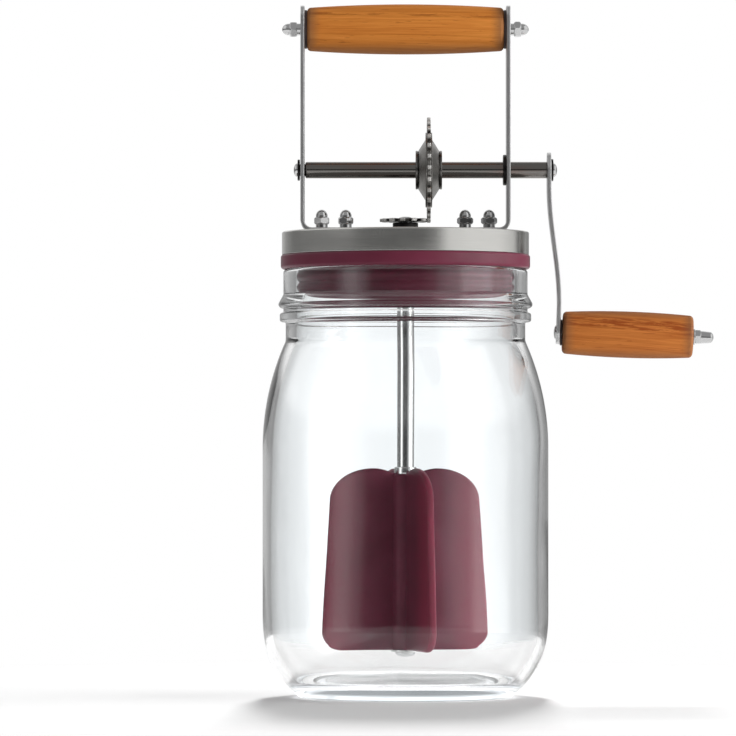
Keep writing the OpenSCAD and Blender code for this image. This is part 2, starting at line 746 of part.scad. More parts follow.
// Dished cheek beside the toothed disc, opening along +Z
module gear_cheek() {
    rim_in = gear_t / 2;
    rim_out = rim_in + cheek_t;
    bore_r = sleeve_d / 2 + seat_clear;
    rotate_extrude()
        polygon([[cheek_d / 2, rim_in], [cheek_d / 2, rim_out], [cheek_rim_d / 2, rim_out],
                 [cheek_bottom_d / 2, cheek_out], [bore_r, cheek_out],
                 [bore_r, cheek_out - cheek_t], [cheek_bottom_d / 2 - cheek_t / 2, cheek_out - cheek_t],
                 [cheek_rim_d / 2 - cheek_t / 2, rim_in]]);
}

module gear_cheek_left() {
    color(DARK_STEEL) along_minus_x(gear_x, axle_z) gear_cheek();
}

module gear_cheek_right() {
    color(DARK_STEEL) along_x(gear_x, axle_z) gear_cheek();
}

module gear_flanges() {
    bore = sleeve_d + 2 * seat_clear;
    color(DARK_STEEL) {
        along_x(gear_x + cheek_out, axle_z) washer(gear_flange_d, bore, gear_flange_t);
        along_minus_x(gear_x - cheek_out, axle_z) washer(gear_flange_d, bore, gear_flange_t);
    }
}

// Sleeve that carries disc, cheeks and flanges on the axle, cross-drilled for the pin
module gear_hub_sleeve() {
    color(DARK_STEEL) difference() {
        along_x(gear_x - hub_half, axle_z)
            washer(sleeve_d, axle_d + 2 * seat_clear, 2 * hub_half);
        translate([gear_pin_x, 0, axle_z - sleeve_d])
            cylinder(d = gear_pin_d + 2 * seat_clear, h = 2 * sleeve_d);
    }
}

module gear_pin() {
    color(BRIGHT_STEEL) translate([gear_pin_x, 0, axle_z - sleeve_d / 2])
        cylinder(d = gear_pin_d, h = sleeve_d);
}

// Flat arm, tapered and round-ended, set outwards on its way down and leaning in at the spindle
module crank_arm() {
    below = arm_bottom_r + CUT;
    high = axle_z + arm_top_r + CUT;
    inner_line = concat(
        [[arm_x, high]],
        [for (i = [0:ARC_STEPS]) let (t = i / ARC_STEPS)
            [arm_x + arm_joggle * (1 - cos(180 * t)) / 2, arm_slope_z - arm_joggle_l * t]],
        [[spindle_x - below * tan(arm_lean), grip_z - below]]);
    outer_line = [for (i = [len(inner_line) - 1:-1:0]) inner_line[i] + [arm_t, 0]];
    taper = asin((arm_top_r - arm_bottom_r) / arm_l);
    face = concat(
        arc([0, axle_z], arm_top_r, -taper, 180 + taper, LONG_STEPS),
        arc([0, grip_z], arm_bottom_r, 180 + taper, 360 - taper, LONG_STEPS));
    square_hole = square_end + 2 * seat_clear;
    color(STRAP_STEEL) difference() {
        intersection() {
            translate([0, strap_w, 0]) rotate([90, 0, 0])
                linear_extrude(height = 2 * strap_w) polygon(concat(inner_line, outer_line));
            translate([arm_x - CUT, 0, 0]) rotate([90, 0, 90])
                linear_extrude(height = arm_joggle + arm_t + 2 * CUT) polygon(face);
        }
        translate([arm_x - CUT, -square_hole / 2, axle_z - square_hole / 2])
            cube([arm_t + 2 * CUT, square_hole, square_hole]);
        on_spindle(-CUT) cylinder(d = thread_d + 2 * seat_clear, h = arm_t + 2 * CUT);
    }
}

module arm_washer() {
    color(DARK_STEEL) along_x(arm_x + arm_t, axle_z)
        washer(arm_washer_d, small_thread_d + 2 * seat_clear, end_washer_t);
}

module arm_screw() {
    color(BRIGHT_STEEL) along_x(arm_x + arm_t + end_washer_t, axle_z)
        domed_screw(end_head_d, end_head_h, small_thread_d, small_thread_l);
}

// Spindle riveted into the arm: head, neck, bearing length and thread
module crank_spindle() {
    thread_end = spindle_end + grip_washer_t + nut_depth - end_play;
    neck = thread_d / 2;
    color(BRIGHT_STEEL) on_spindle(0) rotate_extrude()
        polygon(concat(
            oval([0, 0], rivet_d / 2, rivet_h, -90, 0),
            [[neck, 0], [neck, spindle_seat], [spindle_d / 2, spindle_seat],
             [spindle_d / 2, spindle_end], [neck, spindle_end],
             [neck, thread_end], [0, thread_end]]));
}

module grip_thrust_washer() {
    color(DARK_WASHER) on_spindle(spindle_seat)
        washer(thrust_washer_d, spindle_d + 2 * seat_clear, grip_washer_t);
}

module grip_end_washer() {
    color(STRAP_STEEL) on_spindle(spindle_end)
        washer(grip_end_washer_d, thread_d + 2 * seat_clear, grip_washer_t);
}

module crank_nut() {
    color(BRIGHT_STEEL) on_spindle(spindle_end + grip_washer_t) domed_nut();
}

// Turned wooden grip that spins on the spindle
module crank_grip() {
    color(WOOD) on_spindle(grip_start)
        wooden_barrel(grip_l, grip_d, grip_end_d, spindle_d + 2 * run_clear);
}

// Dasher shaft: square end for the pinion, journal in the bush, plain rod, tapped at both ends
module dasher_shaft() {
    pinion_seat = pinion_z - pinion_t / 2;
    square_top = pinion_z + pinion_t / 2 - end_play / 2;
    tap_d = small_thread_d + 2 * seat_clear;
    color(BRIGHT_STEEL) difference() {
        union() {
            rotate_extrude()
                polygon([[0, paddle_z], [shaft_d / 2, paddle_z], [shaft_d / 2, shaft_shoulder],
                         [shaft_journal_d / 2, shaft_shoulder],
                         [shaft_journal_d / 2, pinion_seat], [0, pinion_seat]]);
            translate([-pinion_square / 2, -pinion_square / 2, pinion_seat - CUT])
                cube([pinion_square, pinion_square, square_top - pinion_seat + CUT]);
        }
        translate([0, 0, square_top - small_thread_l - CUT])
            cylinder(d = tap_d, h = small_thread_l + 2 * CUT);
        translate([0, 0, paddle_z - CUT])
            cylinder(d = thread_d + 2 * seat_clear, h = small_thread_l + 2 * CUT);
    }
}

// Pinion under the drive gear, with a gap towards +X where the gear's tooth drops in
module pinion() {
    hole = pinion_square + 2 * seat_clear;
    color(DARK_STEEL) translate([0, 0, pinion_z]) difference() {
        toothed_disc(pinion_teeth, pinion_r, pinion_t, 180 / pinion_teeth);
        cube([hole, hole, 2 * pinion_t], center = true);
    }
}

module pinion_screw() {
    color(BRIGHT_STEEL) translate([0, 0, pinion_z + pinion_t / 2])
        domed_screw(end_head_d, pinion_head_h, small_thread_d, small_thread_l);
}

module shaft_collar() {
    color(BRIGHT_STEEL) translate([0, 0, hub_top])
        washer(collar_d, shaft_d + 2 * seat_clear, collar_h);
}

// Half outline of a vane pair: lower corner, sloping edge, round shoulder, dip at the hub
function vane_outline() =
    let (bottom_r = paddle_bottom_d / 2, top_r = paddle_top_d / 2, peak_r = top_r - vane_shoulder_w)
    concat(
        [[0, 0]],
        arc([bottom_r - vane_corner_r, vane_corner_r], vane_corner_r, -90, 0),
        oval([peak_r, paddle_h - vane_shoulder_h], vane_shoulder_w, vane_shoulder_h, 0, 90, LONG_STEPS),
        [for (i = [ARC_STEPS - 1:-1:0]) let (t = i / ARC_STEPS)
            [peak_r * t, paddle_h - vane_dip * (1 + cos(180 * t)) / 2]]);

// Soft paddle: upright vanes round a hub that takes the shaft
module paddle() {
    color(PLUM) translate([0, 0, paddle_z]) difference() {
        union() {
            for (k = [0:vane_count - 1])
                rotate([0, 0, vane_turn + k * 360 / vane_count])
                    translate([0, vane_t / 2, 0]) rotate([90, 0, 0])
                        linear_extrude(height = vane_t) polygon(vane_outline());
            cylinder(d = hub_d, h = paddle_h - vane_dip);
        }
        translate([0, 0, -CUT])
            cylinder(d = shaft_d + 2 * seat_clear, h = paddle_h + 2 * CUT);
        translate([0, 0, paddle_h - vane_dip]) cylinder(d = collar_d + 2 * drill_clear, h = vane_dip + CUT);
    }
}

module paddle_washer() {
    color(BRIGHT_STEEL) translate([0, 0, paddle_z - paddle_washer_t])
        washer(hub_d, thread_d + 2 * seat_clear, paddle_washer_t);
}

module paddle_screw() {
    color(BRIGHT_STEEL) translate([0, 0, paddle_z - paddle_washer_t]) mirror([0, 0, 1])
        domed_screw(paddle_head_d, paddle_head_h, thread_d, small_thread_l);
}

glass_jar();
lid_cap();
lid_seal();
left_bracket();
right_bracket();
bracket_screws();
screw_washers();
bracket_nuts();
handle_grip();
handle_tie_rod();
handle_washers();
handle_nuts();
left_axle_bush();
right_axle_bush();
shaft_bush();
shaft_bush_nut();
crank_axle();
axle_end_washer();
axle_end_screw();
drive_gear();
gear_cheek_left();
gear_cheek_right();
gear_flanges();
gear_hub_sleeve();
gear_pin();
crank_arm();
arm_washer();
arm_screw();
crank_spindle();
grip_thrust_washer();
grip_end_washer();
crank_nut();
crank_grip();
dasher_shaft();
pinion();
pinion_screw();
shaft_collar();
paddle();
paddle_washer();
paddle_screw();
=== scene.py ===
"""Finishes and detailed pieces for a hand-cranked butter churn on a glass jar.

Shapes are worked out in millimetres in the churn's own frame: the jar's axis is Z, the crank points to +X
and the camera stands on the -Y side. mesh_of() turns millimetres into metres.
"""

import json
import math

import bpy
import numpy as np
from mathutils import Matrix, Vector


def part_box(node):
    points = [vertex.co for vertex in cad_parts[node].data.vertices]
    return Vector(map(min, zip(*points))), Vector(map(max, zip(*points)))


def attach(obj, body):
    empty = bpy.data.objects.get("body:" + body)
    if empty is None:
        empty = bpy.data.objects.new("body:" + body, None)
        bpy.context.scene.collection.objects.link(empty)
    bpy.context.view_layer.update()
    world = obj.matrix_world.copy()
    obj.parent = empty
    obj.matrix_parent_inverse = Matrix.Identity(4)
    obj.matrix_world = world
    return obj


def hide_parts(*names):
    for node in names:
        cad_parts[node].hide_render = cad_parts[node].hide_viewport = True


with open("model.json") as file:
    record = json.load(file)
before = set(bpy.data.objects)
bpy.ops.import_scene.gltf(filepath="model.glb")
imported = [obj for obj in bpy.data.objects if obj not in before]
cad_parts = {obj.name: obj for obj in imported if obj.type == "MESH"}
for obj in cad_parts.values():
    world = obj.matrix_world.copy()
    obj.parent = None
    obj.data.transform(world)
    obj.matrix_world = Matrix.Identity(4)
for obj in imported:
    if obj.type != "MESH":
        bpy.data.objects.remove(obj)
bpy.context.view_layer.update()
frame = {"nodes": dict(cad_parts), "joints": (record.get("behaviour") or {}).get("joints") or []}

MM = 0.001
TAU = 2 * math.pi

# Points closer than this are one, in millimetres. Edges bent by more than this are sharp, in degrees.
WELD = 1e-5
SHARP = 35


# Places taken from the frame

def node_box(name):
    """Lowest and highest corner of a CAD node, in millimetres."""
    low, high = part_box(name)
    return np.array(low) / MM, np.array(high) / MM


def middle(name):
    """Middle of a CAD node's box, in millimetres."""
    low, high = node_box(name)
    return (low + high) / 2


def joint_named(name):
    """A joint's place in millimetres and its direction."""
    joint = next(j for j in frame["joints"] if j["name"] == name)
    return np.array(joint["pos_m"]) / MM, np.array(joint["axis"], float)


JAR_R, _, JAR_H = node_box("glass_jar")[1]
CAP_LOW, CAP_HIGH = node_box("lid_cap")
SEAL_LOW, SEAL_HIGH = node_box("lid_seal")
BRACKET_LOW, BRACKET_HIGH = node_box("right_bracket")
PADDLE_LOW, PADDLE_HIGH = node_box("paddle")
LID_TOP = CAP_HIGH[2]
STRAP_X = BRACKET_HIGH[0]
ARM_X = node_box("crank_arm")[0][0]
AXLE_Z = middle("crank_axle")[2]
HANDLE_Z = middle("handle_grip")[2]
SPINDLE, SPINDLE_WAY = joint_named("grip_spin")
LEAN = math.asin(-SPINDLE_WAY[2])

# Sizes shared by several pieces
STRAP_T = 1.5
ARM_T = 1.5
CAP_SHEET = 0.9
SCREW_HOLE = 3.4
SCREW_XS = (32.425, 23.125)
HEAD_R = 2.6
NUT_H = 7.2

# Stations along the spindle, from the arm's inner face
GRIP_WASHER_T = 0.7
GRIP_PLAY = 0.15
GRIP_L = 50.5
SEAT_AT = ARM_T * math.cos(LEAN)
GRIP_AT = SEAT_AT + GRIP_WASHER_T + GRIP_PLAY
SPINDLE_END = GRIP_AT + GRIP_L + GRIP_PLAY


# Outlines

def joined(*parts):
    """Several rows of points as one."""
    return np.concatenate(parts)


def unit(rows):
    """The rows scaled to length 1."""
    return rows / np.maximum(np.linalg.norm(rows, axis=1), WELD)[:, None]


def arc(centre, radius, start, end, steps=12):
    """Points centre + radius (cos a, sin a), with a from start to end in degrees. radius may be a pair."""
    a = np.radians(np.linspace(start, end, steps + 1))
    return np.asarray(centre, float) + np.asarray(radius) * np.stack([np.cos(a), np.sin(a)], 1)


def apart(points):
    """The points without those that repeat the one before."""
    step = np.linalg.norm(np.diff(points, axis=0), axis=1)
    return points[joined([True], step > WELD)]


def rounded(corners, radii, closed=False, steps=6):
    """Outline through corners, each replaced by an arc that touches both sides of its corner.

    With h half the angle at the corner, the arc of radius r starts r / tan h before the corner and its
    centre lies r / sin h along the line that halves the angle. An open outline keeps its two ends.
    """
    corners = np.asarray(corners, float)
    radii = np.broadcast_to(np.asarray(radii, float), len(corners)).copy()
    if not closed:
        radii[[0, -1]] = 0
    back = unit(np.roll(corners, 1, 0) - corners)
    ahead = unit(np.roll(corners, -1, 0) - corners)
    half = np.arccos(np.clip((back * ahead).sum(1), -1, 1)) / 2
    centre = corners + unit(back + ahead) * (radii / np.sin(half))[:, None]
    reach = (radii / np.tan(half))[:, None]
    first = corners + back * reach - centre
    last = corners + ahead * reach - centre
    start = np.arctan2(first[:, 1], first[:, 0])
    turn = (np.arctan2(last[:, 1], last[:, 0]) - start + math.pi) % TAU - math.pi
    a = start[:, None] + turn[:, None] * np.linspace(0, 1, steps + 1)
    points = centre[:, None] + radii[:, None, None] * np.stack([np.cos(a), np.sin(a)], 2)
    points = apart(points.reshape(-1, 2))
    return joined(points, points[:1]) if closed else points


def finely(outline, longest):
    """The outline with points added so that no step is longer than given."""
    lengths = np.linalg.norm(np.diff(outline, axis=0), axis=1)
    counts = np.maximum(np.ceil(lengths / longest), 1).astype(int)
    at = np.repeat(np.arange(len(lengths)), counts)
    share = (np.arange(len(at)) - np.repeat(np.cumsum(counts) - counts, counts)) / counts[at]
    points = outline[at] + (outline[at + 1] - outline[at]) * share[:, None]
    return joined(points, outline[-1:])


# Surfaces

def surface(points):
    """A grid of points as a shell: the points and the quads between neighbours."""
    rows, columns = points.shape[:2]
    index = np.arange(rows * columns).reshape(rows, columns)
    quads = np.stack([index[:-1, :-1], index[1:, :-1], index[1:, 1:], index[:-1, 1:]], -1)
    return points.reshape(-1, 3), quads.reshape(-1, 4)


def around(radius, a, level):
    """Surface round Z: (r cos a, r sin a, level), with a along the grid's rows."""
    return surface(np.stack([radius * np.cos(a), radius * np.sin(a), level + 0 * a], 2))


def turned(outline, segments=96):
    """Surface of revolution about Z: outline (r, t) gives (r cos a, r sin a, t)."""
    return around(outline[:, :1], np.linspace(0, TAU, segments + 1), outline[:, 1:])


def laid(shell, origin, way):
    """Lays a shell built up along Z on the axis that starts at origin and points along way.

    The shell's X goes to Y x way, its Y to way x (Y x way), and its Z to way.
    """
    way = np.asarray(way, float)
    across = np.cross([0, 1, 0], way)
    turn = np.stack([across, np.cross(way, across), way])
    return shell[0] @ turn + np.asarray(origin, float), shell[1]


def along_x(shell, x, z, way=1):
    """Lays a shell on an axis along X, from x at height z. way -1 runs to -X."""
    return laid(shell, (x, 0, z), (way, 0, 0))


def on_spindle(shell, distance):
    """Lays a shell on the crank spindle's axis, at a distance from the arm's inner face."""
    return laid(shell, SPINDLE + SPINDLE_WAY * distance, SPINDLE_WAY)


def moved(shell, shift):
    """A shell moved by shift."""
    return shell[0] + np.asarray(shift, float), shell[1]


def spun(shell, degrees):
    """A shell turned about Z."""
    c, s = math.cos(math.radians(degrees)), math.sin(math.radians(degrees))
    return shell[0] @ np.array([[c, s, 0], [-s, c, 0], [0, 0, 1]]), shell[1]


def ring(outer_r, bore_r, thickness, edge):
    """Washer on the XY plane with rounded edges."""
    corners = [(bore_r, 0), (outer_r, 0), (outer_r, thickness), (bore_r, thickness)]
    return turned(rounded(corners, edge, closed=True, steps=4))


def rod(radius, length):
    """Plain rod up from the XY plane, which other pieces are drilled with."""
    return turned(np.array([(0, 0), (radius, 0), (radius, length), (0, length)], float), 64)


def domed_head(radius, height, stem_r, stem_l):
    """Screw with its head on the XY plane and its stem below: an ellipse on a short straight edge."""
    edge = height * 0.2
    head = arc((0, edge), (radius, height - edge), 0, 90)
    stem = [(0, -stem_l), (stem_r, -stem_l), (stem_r, 0), (radius, 0)]
    return turned(joined(stem, head))


def hexagonal(outline, flats):
    """Turned outline cut to a hexagon: at each height and angle, the smaller of the two radii.

    The hexagon has a corner at angle 0, and its radius is half the flats over the cosine of the angle
    from the middle of the nearest flat.
    """
    a = np.linspace(0, TAU, 97)
    hexagon = flats / 2 / np.cos(a % (TAU / 6) - TAU / 12)
    return around(np.minimum(outline[:, :1], hexagon), a, outline[:, 1:])


def capped_nut(corners, radii, flats):
    """Nut with a turned side, which half an oval closes from the side's end to the nut's height."""
    side = rounded(corners, radii)
    end_r, end_z = side[-1]
    dome = arc((0, end_z), (end_r, NUT_H - end_z), 0, 90, 16)
    return hexagonal(apart(joined(finely(side, 0.12), dome)), flats)


def domed_nut():
    """Domed nut on the XY plane: round collar, hexagon bevelled by a double cone, and a dome."""
    flats, collar_r, collar_h, hexagon_h, bevel, dome_r, straight = 5.5, 2.3, 1.5, 2.7, 0.6, 2.25, 0.5
    end_r = flats / 2 / math.cos(TAU / 12) - bevel
    top = collar_h + hexagon_h
    return capped_nut([(0, 0), (collar_r, 0), (collar_r, collar_h), (end_r, collar_h),
                       (end_r + hexagon_h / 2, collar_h + hexagon_h / 2), (end_r, top), (dome_r, top),
                       (dome_r, top + straight)], [0, 0.15, 0.1, 0.12, 0, 0.12, 0.12, 0], flats)


def slim_nut():
    """Slim domed nut on the XY plane: low hexagon and a cone that narrows to a round end."""
    flats, hexagon_h, bevel, cone_r, cone_end_r, cone_end_h = 5.0, 2.2, 0.3, 2.45, 2.15, 5.8
    corner_r = flats / 2 / math.cos(TAU / 12)
    return capped_nut([(0, 0), (corner_r - bevel, 0), (corner_r, bevel), (corner_r, hexagon_h - bevel),
                       (cone_r, hexagon_h), (cone_end_r, cone_end_h)], [0, 0.1, 0.1, 0.2, 0.3, 0], flats)


def toothed_disc(teeth, tip_r, bore_r, thickness, edge, start):
    """Toothed disc round Z, with a tooth at angle start.

    With d the distance along the rim from the nearest tooth's middle, the outline rises from the root to
    the tip by a smooth step as d falls from half the root's width to half the tip's. The outline is
    carried through the thickness as face, rounded edge, rim, rounded edge, face and bore.
    """
    tip_w, root_w, depth = 1.2, 2.0, 3.2
    root_r = tip_r - depth
    a = np.linspace(0, TAU, teeth * 40 + 1)
    share = ((a - start) / (TAU / teeth) + 0.5) % 1 - 0.5
    d = np.abs(share) * TAU / teeth * root_r
    rise = np.clip((root_w / 2 - d) / (root_w / 2 - tip_w / 2), 0, 1)
    rim = root_r + depth * rise * rise * (3 - 2 * rise)
    half = thickness / 2
    q = np.radians(np.linspace(0, 90, 5))
    inset = edge * (1 - np.sin(q))
    level = edge * (1 - np.cos(q)) - half
    bore = np.full((1, len(rim)), bore_r)
    radius = joined(bore, rim - inset[:, None], rim - inset[::-1, None], bore, bore)
    level = joined([-half], level, -level[::-1], [half, -half])
    return around(radius, a, level[:, None])


def strip(path, half_width, thickness, edge):
    """Bar of flat strip: a rectangle with rounded edges carried along a path of (x, z) points.

    The rectangle's thickness lies along the path's normal and its width along Y, and half_width gives
    the width at each point. Both ends are closed on their middle line.
    """
    tangent = unit(np.gradient(path, axis=0))
    normal = np.stack([tangent[:, 1], -tangent[:, 0]], 1)
    quarters = np.repeat([45, 135, 225, 315], 5)
    quarters = np.radians(np.append(quarters, quarters[0]))
    a = np.radians(np.append((np.linspace(0, 90, 5) + np.array([[0], [90], [180], [270]])).ravel(), 360))
    half_w = half_width[:, None]
    across = np.sign(np.cos(quarters)) * (thickness / 2 - edge) + edge * np.cos(a)
    wide = np.sign(np.sin(quarters)) * np.maximum(half_w - edge, 0) + np.minimum(edge, half_w) * np.sin(a)
    at = joined([0], np.arange(len(path)), [len(path) - 1])
    full = np.ones((len(at), 1))
    full[[0, -1]] = 0
    x = path[at, :1] + normal[at, :1] * full * across
    z = path[at, 1:] + normal[at, 1:] * full * across
    return surface(np.stack([x, wide[at], z], 2))


# Pieces

def welded(shell):
    """The shell with coincident points made one and its quads facing outwards.

    The signed volume is a sixth of the sum of p0 . (p1 x p2) over the triangles of the quads.
    """
    points, quads = shell
    places = np.round(points / WELD).astype(np.int64)
    _, first, same = np.unique(places, axis=0, return_index=True, return_inverse=True)
    points, quads = points[first], same.reshape(-1)[quads]
    corners = points[quads]
    volume = (corners[:, 0] * np.cross(corners[:, 1], corners[:, 2])).sum()
    volume += (corners[:, 0] * np.cross(corners[:, 2], corners[:, 3])).sum()
    return points, quads if volume > 0 else quads[:, ::-1]


def mesh_of(name, shells, sharp=SHARP):
    """One mesh of welded shells. Quads with a doubled corner become triangles, and empty ones go."""
    shells = [welded(shell) for shell in shells]
    starts = np.cumsum([0] + [len(points) for points, _ in shells])
    points = np.concatenate([p for p, _ in shells]) * MM
    quads = np.concatenate([q + start for (_, q), start in zip(shells, starts)])
    keep = quads != np.roll(quads, 1, 1)
    full = keep.sum(1) > 2
    quads, keep = quads[full], keep[full]
    sizes = keep.sum(1)
    mesh = bpy.data.meshes.new(name)
    mesh.vertices.add(len(points))
    mesh.vertices.foreach_set("co", points.astype(np.float32).ravel())
    mesh.loops.add(int(sizes.sum()))
    mesh.loops.foreach_set("vertex_index", quads[keep].astype(np.int32))
    mesh.polygons.add(len(quads))
    mesh.polygons.foreach_set("loop_start", (np.cumsum(sizes) - sizes).astype(np.int32))
    mesh.update(calc_edges=True)
    mesh.validate()
    mesh.polygons.foreach_set("use_smooth", np.ones(len(mesh.polygons), bool))
    mesh.set_sharp_from_angle(angle=math.radians(sharp))
    return mesh


def added(name, data):
    """A new object, put in the scene."""
    made = bpy.data.objects.new(name, data)
    bpy.context.scene.collection.objects.link(made)
    return made


def combined(name, shell, others, operation):
    """One mesh of a shell with others united to it or cut from it."""
    solids = [added(f"{name}_{i}", mesh_of(name, [each])) for i, each in enumerate([shell, *others])]
    for other in solids[1:]:
        step = solids[0].modifiers.new(other.name, "BOOLEAN")
        step.operation = operation
        step.solver = "EXACT"
        step.object = other
    bpy.context.view_layer.update()
    whole = solids[0].evaluated_get(bpy.context.evaluated_depsgraph_get())
    mesh = bpy.data.meshes.new_from_object(whole)
    for solid in solids:
        bpy.data.objects.remove(solid)
    mesh.materials.clear()
    mesh.set_sharp_from_angle(angle=math.radians(SHARP))
    return mesh


def piece(name, body, slot, finish, shape, *stands_for):
    """One detailed piece, a mesh or a list of shells, that rides on a body and stands for CAD nodes."""
    mesh = mesh_of(name, shape) if isinstance(shape, list) else shape
    made = added(name, mesh)
    mesh.materials.append(finish.material)
    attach(made, body)
    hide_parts(*stands_for)


# Finishes

def both_ways(operation):
    """An operator and its reflected form, which both add a Math node."""
    def plain(self, other):
        return self.nodes.math(operation, self, other)

    def reflected(self, other):
        return self.nodes.math(operation, other, self)

    return plain, reflected


class Shade:
    """A value that a finish works out: one output socket, with arithmetic that adds Math nodes."""

    def __init__(self, nodes, socket):
        self.nodes = nodes
        self.socket = socket

    __add__, __radd__ = both_ways("ADD")
    __sub__, __rsub__ = both_ways("SUBTRACT")
    __mul__, __rmul__ = both_ways("MULTIPLY")
    __truediv__, __rtruediv__ = both_ways("DIVIDE")
    __pow__, __rpow__ = both_ways("POWER")


class Nodes:
    """The nodes of one material or of the world."""

    def __init__(self, tree):
        self.tree = tree

    def node(self, kind, inputs=None, output=0, **settings):
        """Makes a node, sets its settings first, then the values or links of its sockets."""
        made = self.tree.nodes.new("ShaderNode" + kind)
        for name, value in settings.items():
            setattr(made, name, value)
        for name, value in (inputs or {}).items():
            self.feed(made, name, value)
        return Shade(self, made.outputs[output])

    def feed(self, node, name, value):
        """Sets a node's socket, by identifier, name or number, to a value or links it to a shade.

        A colour is given as red, green and blue.
        """
        found = [s for s in node.inputs if s.identifier == name] or [node.inputs[name]]
        if isinstance(value, Shade):
            self.tree.links.new(value.socket, found[0])
        else:
            found[0].default_value = (*value, 1) if found[0].type == "RGBA" else value

    def math(self, operation, first, second=0.0):
        """A Math node on numbers or shades."""
        return self.node("Math", {0: first, 1: second}, operation=operation)

    def vector(self, x, y, z):
        """A vector from three numbers or shades."""
        return self.node("CombineXYZ", {"X": x, "Y": y, "Z": z})

    def parts(self, vector):
        """The three numbers of a vector."""
        first = self.node("SeparateXYZ", {"Vector": vector})
        return [Shade(self, socket) for socket in first.socket.node.outputs]

    def mix(self, factor, first, second):
        """A colour between two colours."""
        sockets = {"Factor_Float": factor, "A_Color": first, "B_Color": second}
        return self.node("Mix", sockets, 2, data_type="RGBA")

    def ramp(self, value, stops):
        """A colour looked up on a ramp of (place, colour) stops."""
        colour = self.node("ValToRGB", {"Fac": value})
        elements = colour.socket.node.color_ramp.elements
        while len(elements) < len(stops):
            elements.new(1)
        for element, (place, shown) in zip(elements, stops):
            element.position = place
            element.color = (*shown, 1)
        return colour

    def between(self, value, low, high, out_low=0.0, out_high=1.0):
        """A value carried smoothly from one range to another."""
        sockets = {"Value": value, 1: low, 2: high, 3: out_low, 4: out_high}
        return self.node("MapRange", sockets, interpolation_type="SMOOTHSTEP")

    def window(self, value, low, high, soft):
        """1 between two limits and 0 outside them, with soft edges."""
        rise = self.between(value, low - soft, low + soft)
        return rise * self.between(value, high - soft, high + soft, 1.0, 0.0)


class Finish(Nodes):
    """A material with its main shader."""

    def __init__(self, name):
        self.material = bpy.data.materials.new(name)
        self.material.use_nodes = True
        super().__init__(self.material.node_tree)
        self.shader = self.tree.nodes["Principled BSDF"]

    def set(self, **sockets):
        """Sets or links the main shader's sockets, with _ for a space in a name."""
        for name, value in sockets.items():
            self.feed(self.shader, name.replace("_", " "), value)

    def place(self):
        """The piece's own coordinates in metres."""
        return self.node("TexCoord", output="Object")

    def round_place(self, axis, height=0.0):
        """Angle about an axis, distance from it and place along it. An axis along X lies at a height."""
        x, y, z = self.parts(self.place())
        along, across, up = {"X": (x, y, z - height), "Z": (z, x, y)}[axis]
        return self.math("ARCTAN2", across, up), (across * across + up * up) ** 0.5, along

    def noise(self, scale, detail=3.0, roughness=0.5, distortion=0.0, vector=None):
        """Fractal noise between 0 and 1, read at the piece's own coordinates or at a vector."""
        sockets = {"Vector": vector or self.place(), "Scale": scale, "Detail": detail,
                   "Roughness": roughness, "Distortion": distortion}
        return self.node("TexNoise", sockets)

    def grain(self, x, y, z, *detail):
        """Noise read at a place that is already stretched."""
        return self.noise(1.0, *detail, vector=self.vector(x, y, z))

    def bump(self, height, distance):
        """Feeds a height into the shader's normal. distance is in metres."""
        self.set(Normal=self.node("Bump", {"Height": height, "Distance": distance}))


def clear_glass():
    """Clear moulded glass with slow waves, a faint cool tint that deepens with the way through it, and a
    pale painted glow in its foot that stands in for the light caught there."""
    wave_scale, wave_depth = 26.0, 0.0005
    foot_scale, foot_waver = 300.0, 0.1
    painted_foot_glow = [(0.12, (0.02, 0.02, 0.02)), (0.30, (0.60, 0.62, 0.64)), (0.55, (0.50, 0.52, 0.54)),
                 (0.85, (0, 0, 0))]
    tint, tint_density = (0.70, 0.80, 0.82), 7.0
    finish = Finish("clear_glass")
    waves = finish.noise(wave_scale, 1.0)
    finish.set(Base_Color=(1, 1, 1), Roughness=0.0, IOR=1.5, Transmission_Weight=1.0)
    finish.bump(waves, wave_depth)
    height = finish.parts(finish.place())[2]
    # Painted glow: emission in the lowest millimetres of the glass stands in for light caught in the foot.
    foot = finish.ramp(height * foot_scale + waves * foot_waver, painted_foot_glow)
    finish.set(Emission_Color=foot, Emission_Strength=1.0)
    tinted = finish.node("VolumeAbsorption", {"Color": tint, "Density": tint_density})
    finish.feed(finish.tree.nodes["Material Output"], "Volume", tinted)
    return finish


def brushed_steel(name, axis, dark, light, rough, streak):
    """Steel with fine streaks that run round an axis, or up and down where axis is 'length'.

    Noise is read with its coordinate along the streak almost flat, and it shifts the colour, the roughness
    and a shallow bump. A slow second noise clouds the roughness.
    """
    flat, round_scale, cloud_scale, groove = 0.01, 2.0, 60.0, 0.000006
    finish = Finish(name)
    if axis == "length":
        x, y, z = finish.parts(finish.place())
        grain = x * streak, y * streak, z * (streak * flat)
    else:
        angle, radius, along = finish.round_place(axis)
        grain = angle * round_scale, radius * streak, along * streak
    streaks = finish.grain(*grain, 4.0, 0.65)
    clouds = finish.noise(cloud_scale)
    finish.set(Base_Color=finish.mix(streaks, dark, light), Metallic=1.0)
    finish.set(Roughness=streaks * (rough * 0.5) + clouds * (rough * 0.3) + rough * 0.6)
    finish.bump(streaks, groove)
    return finish


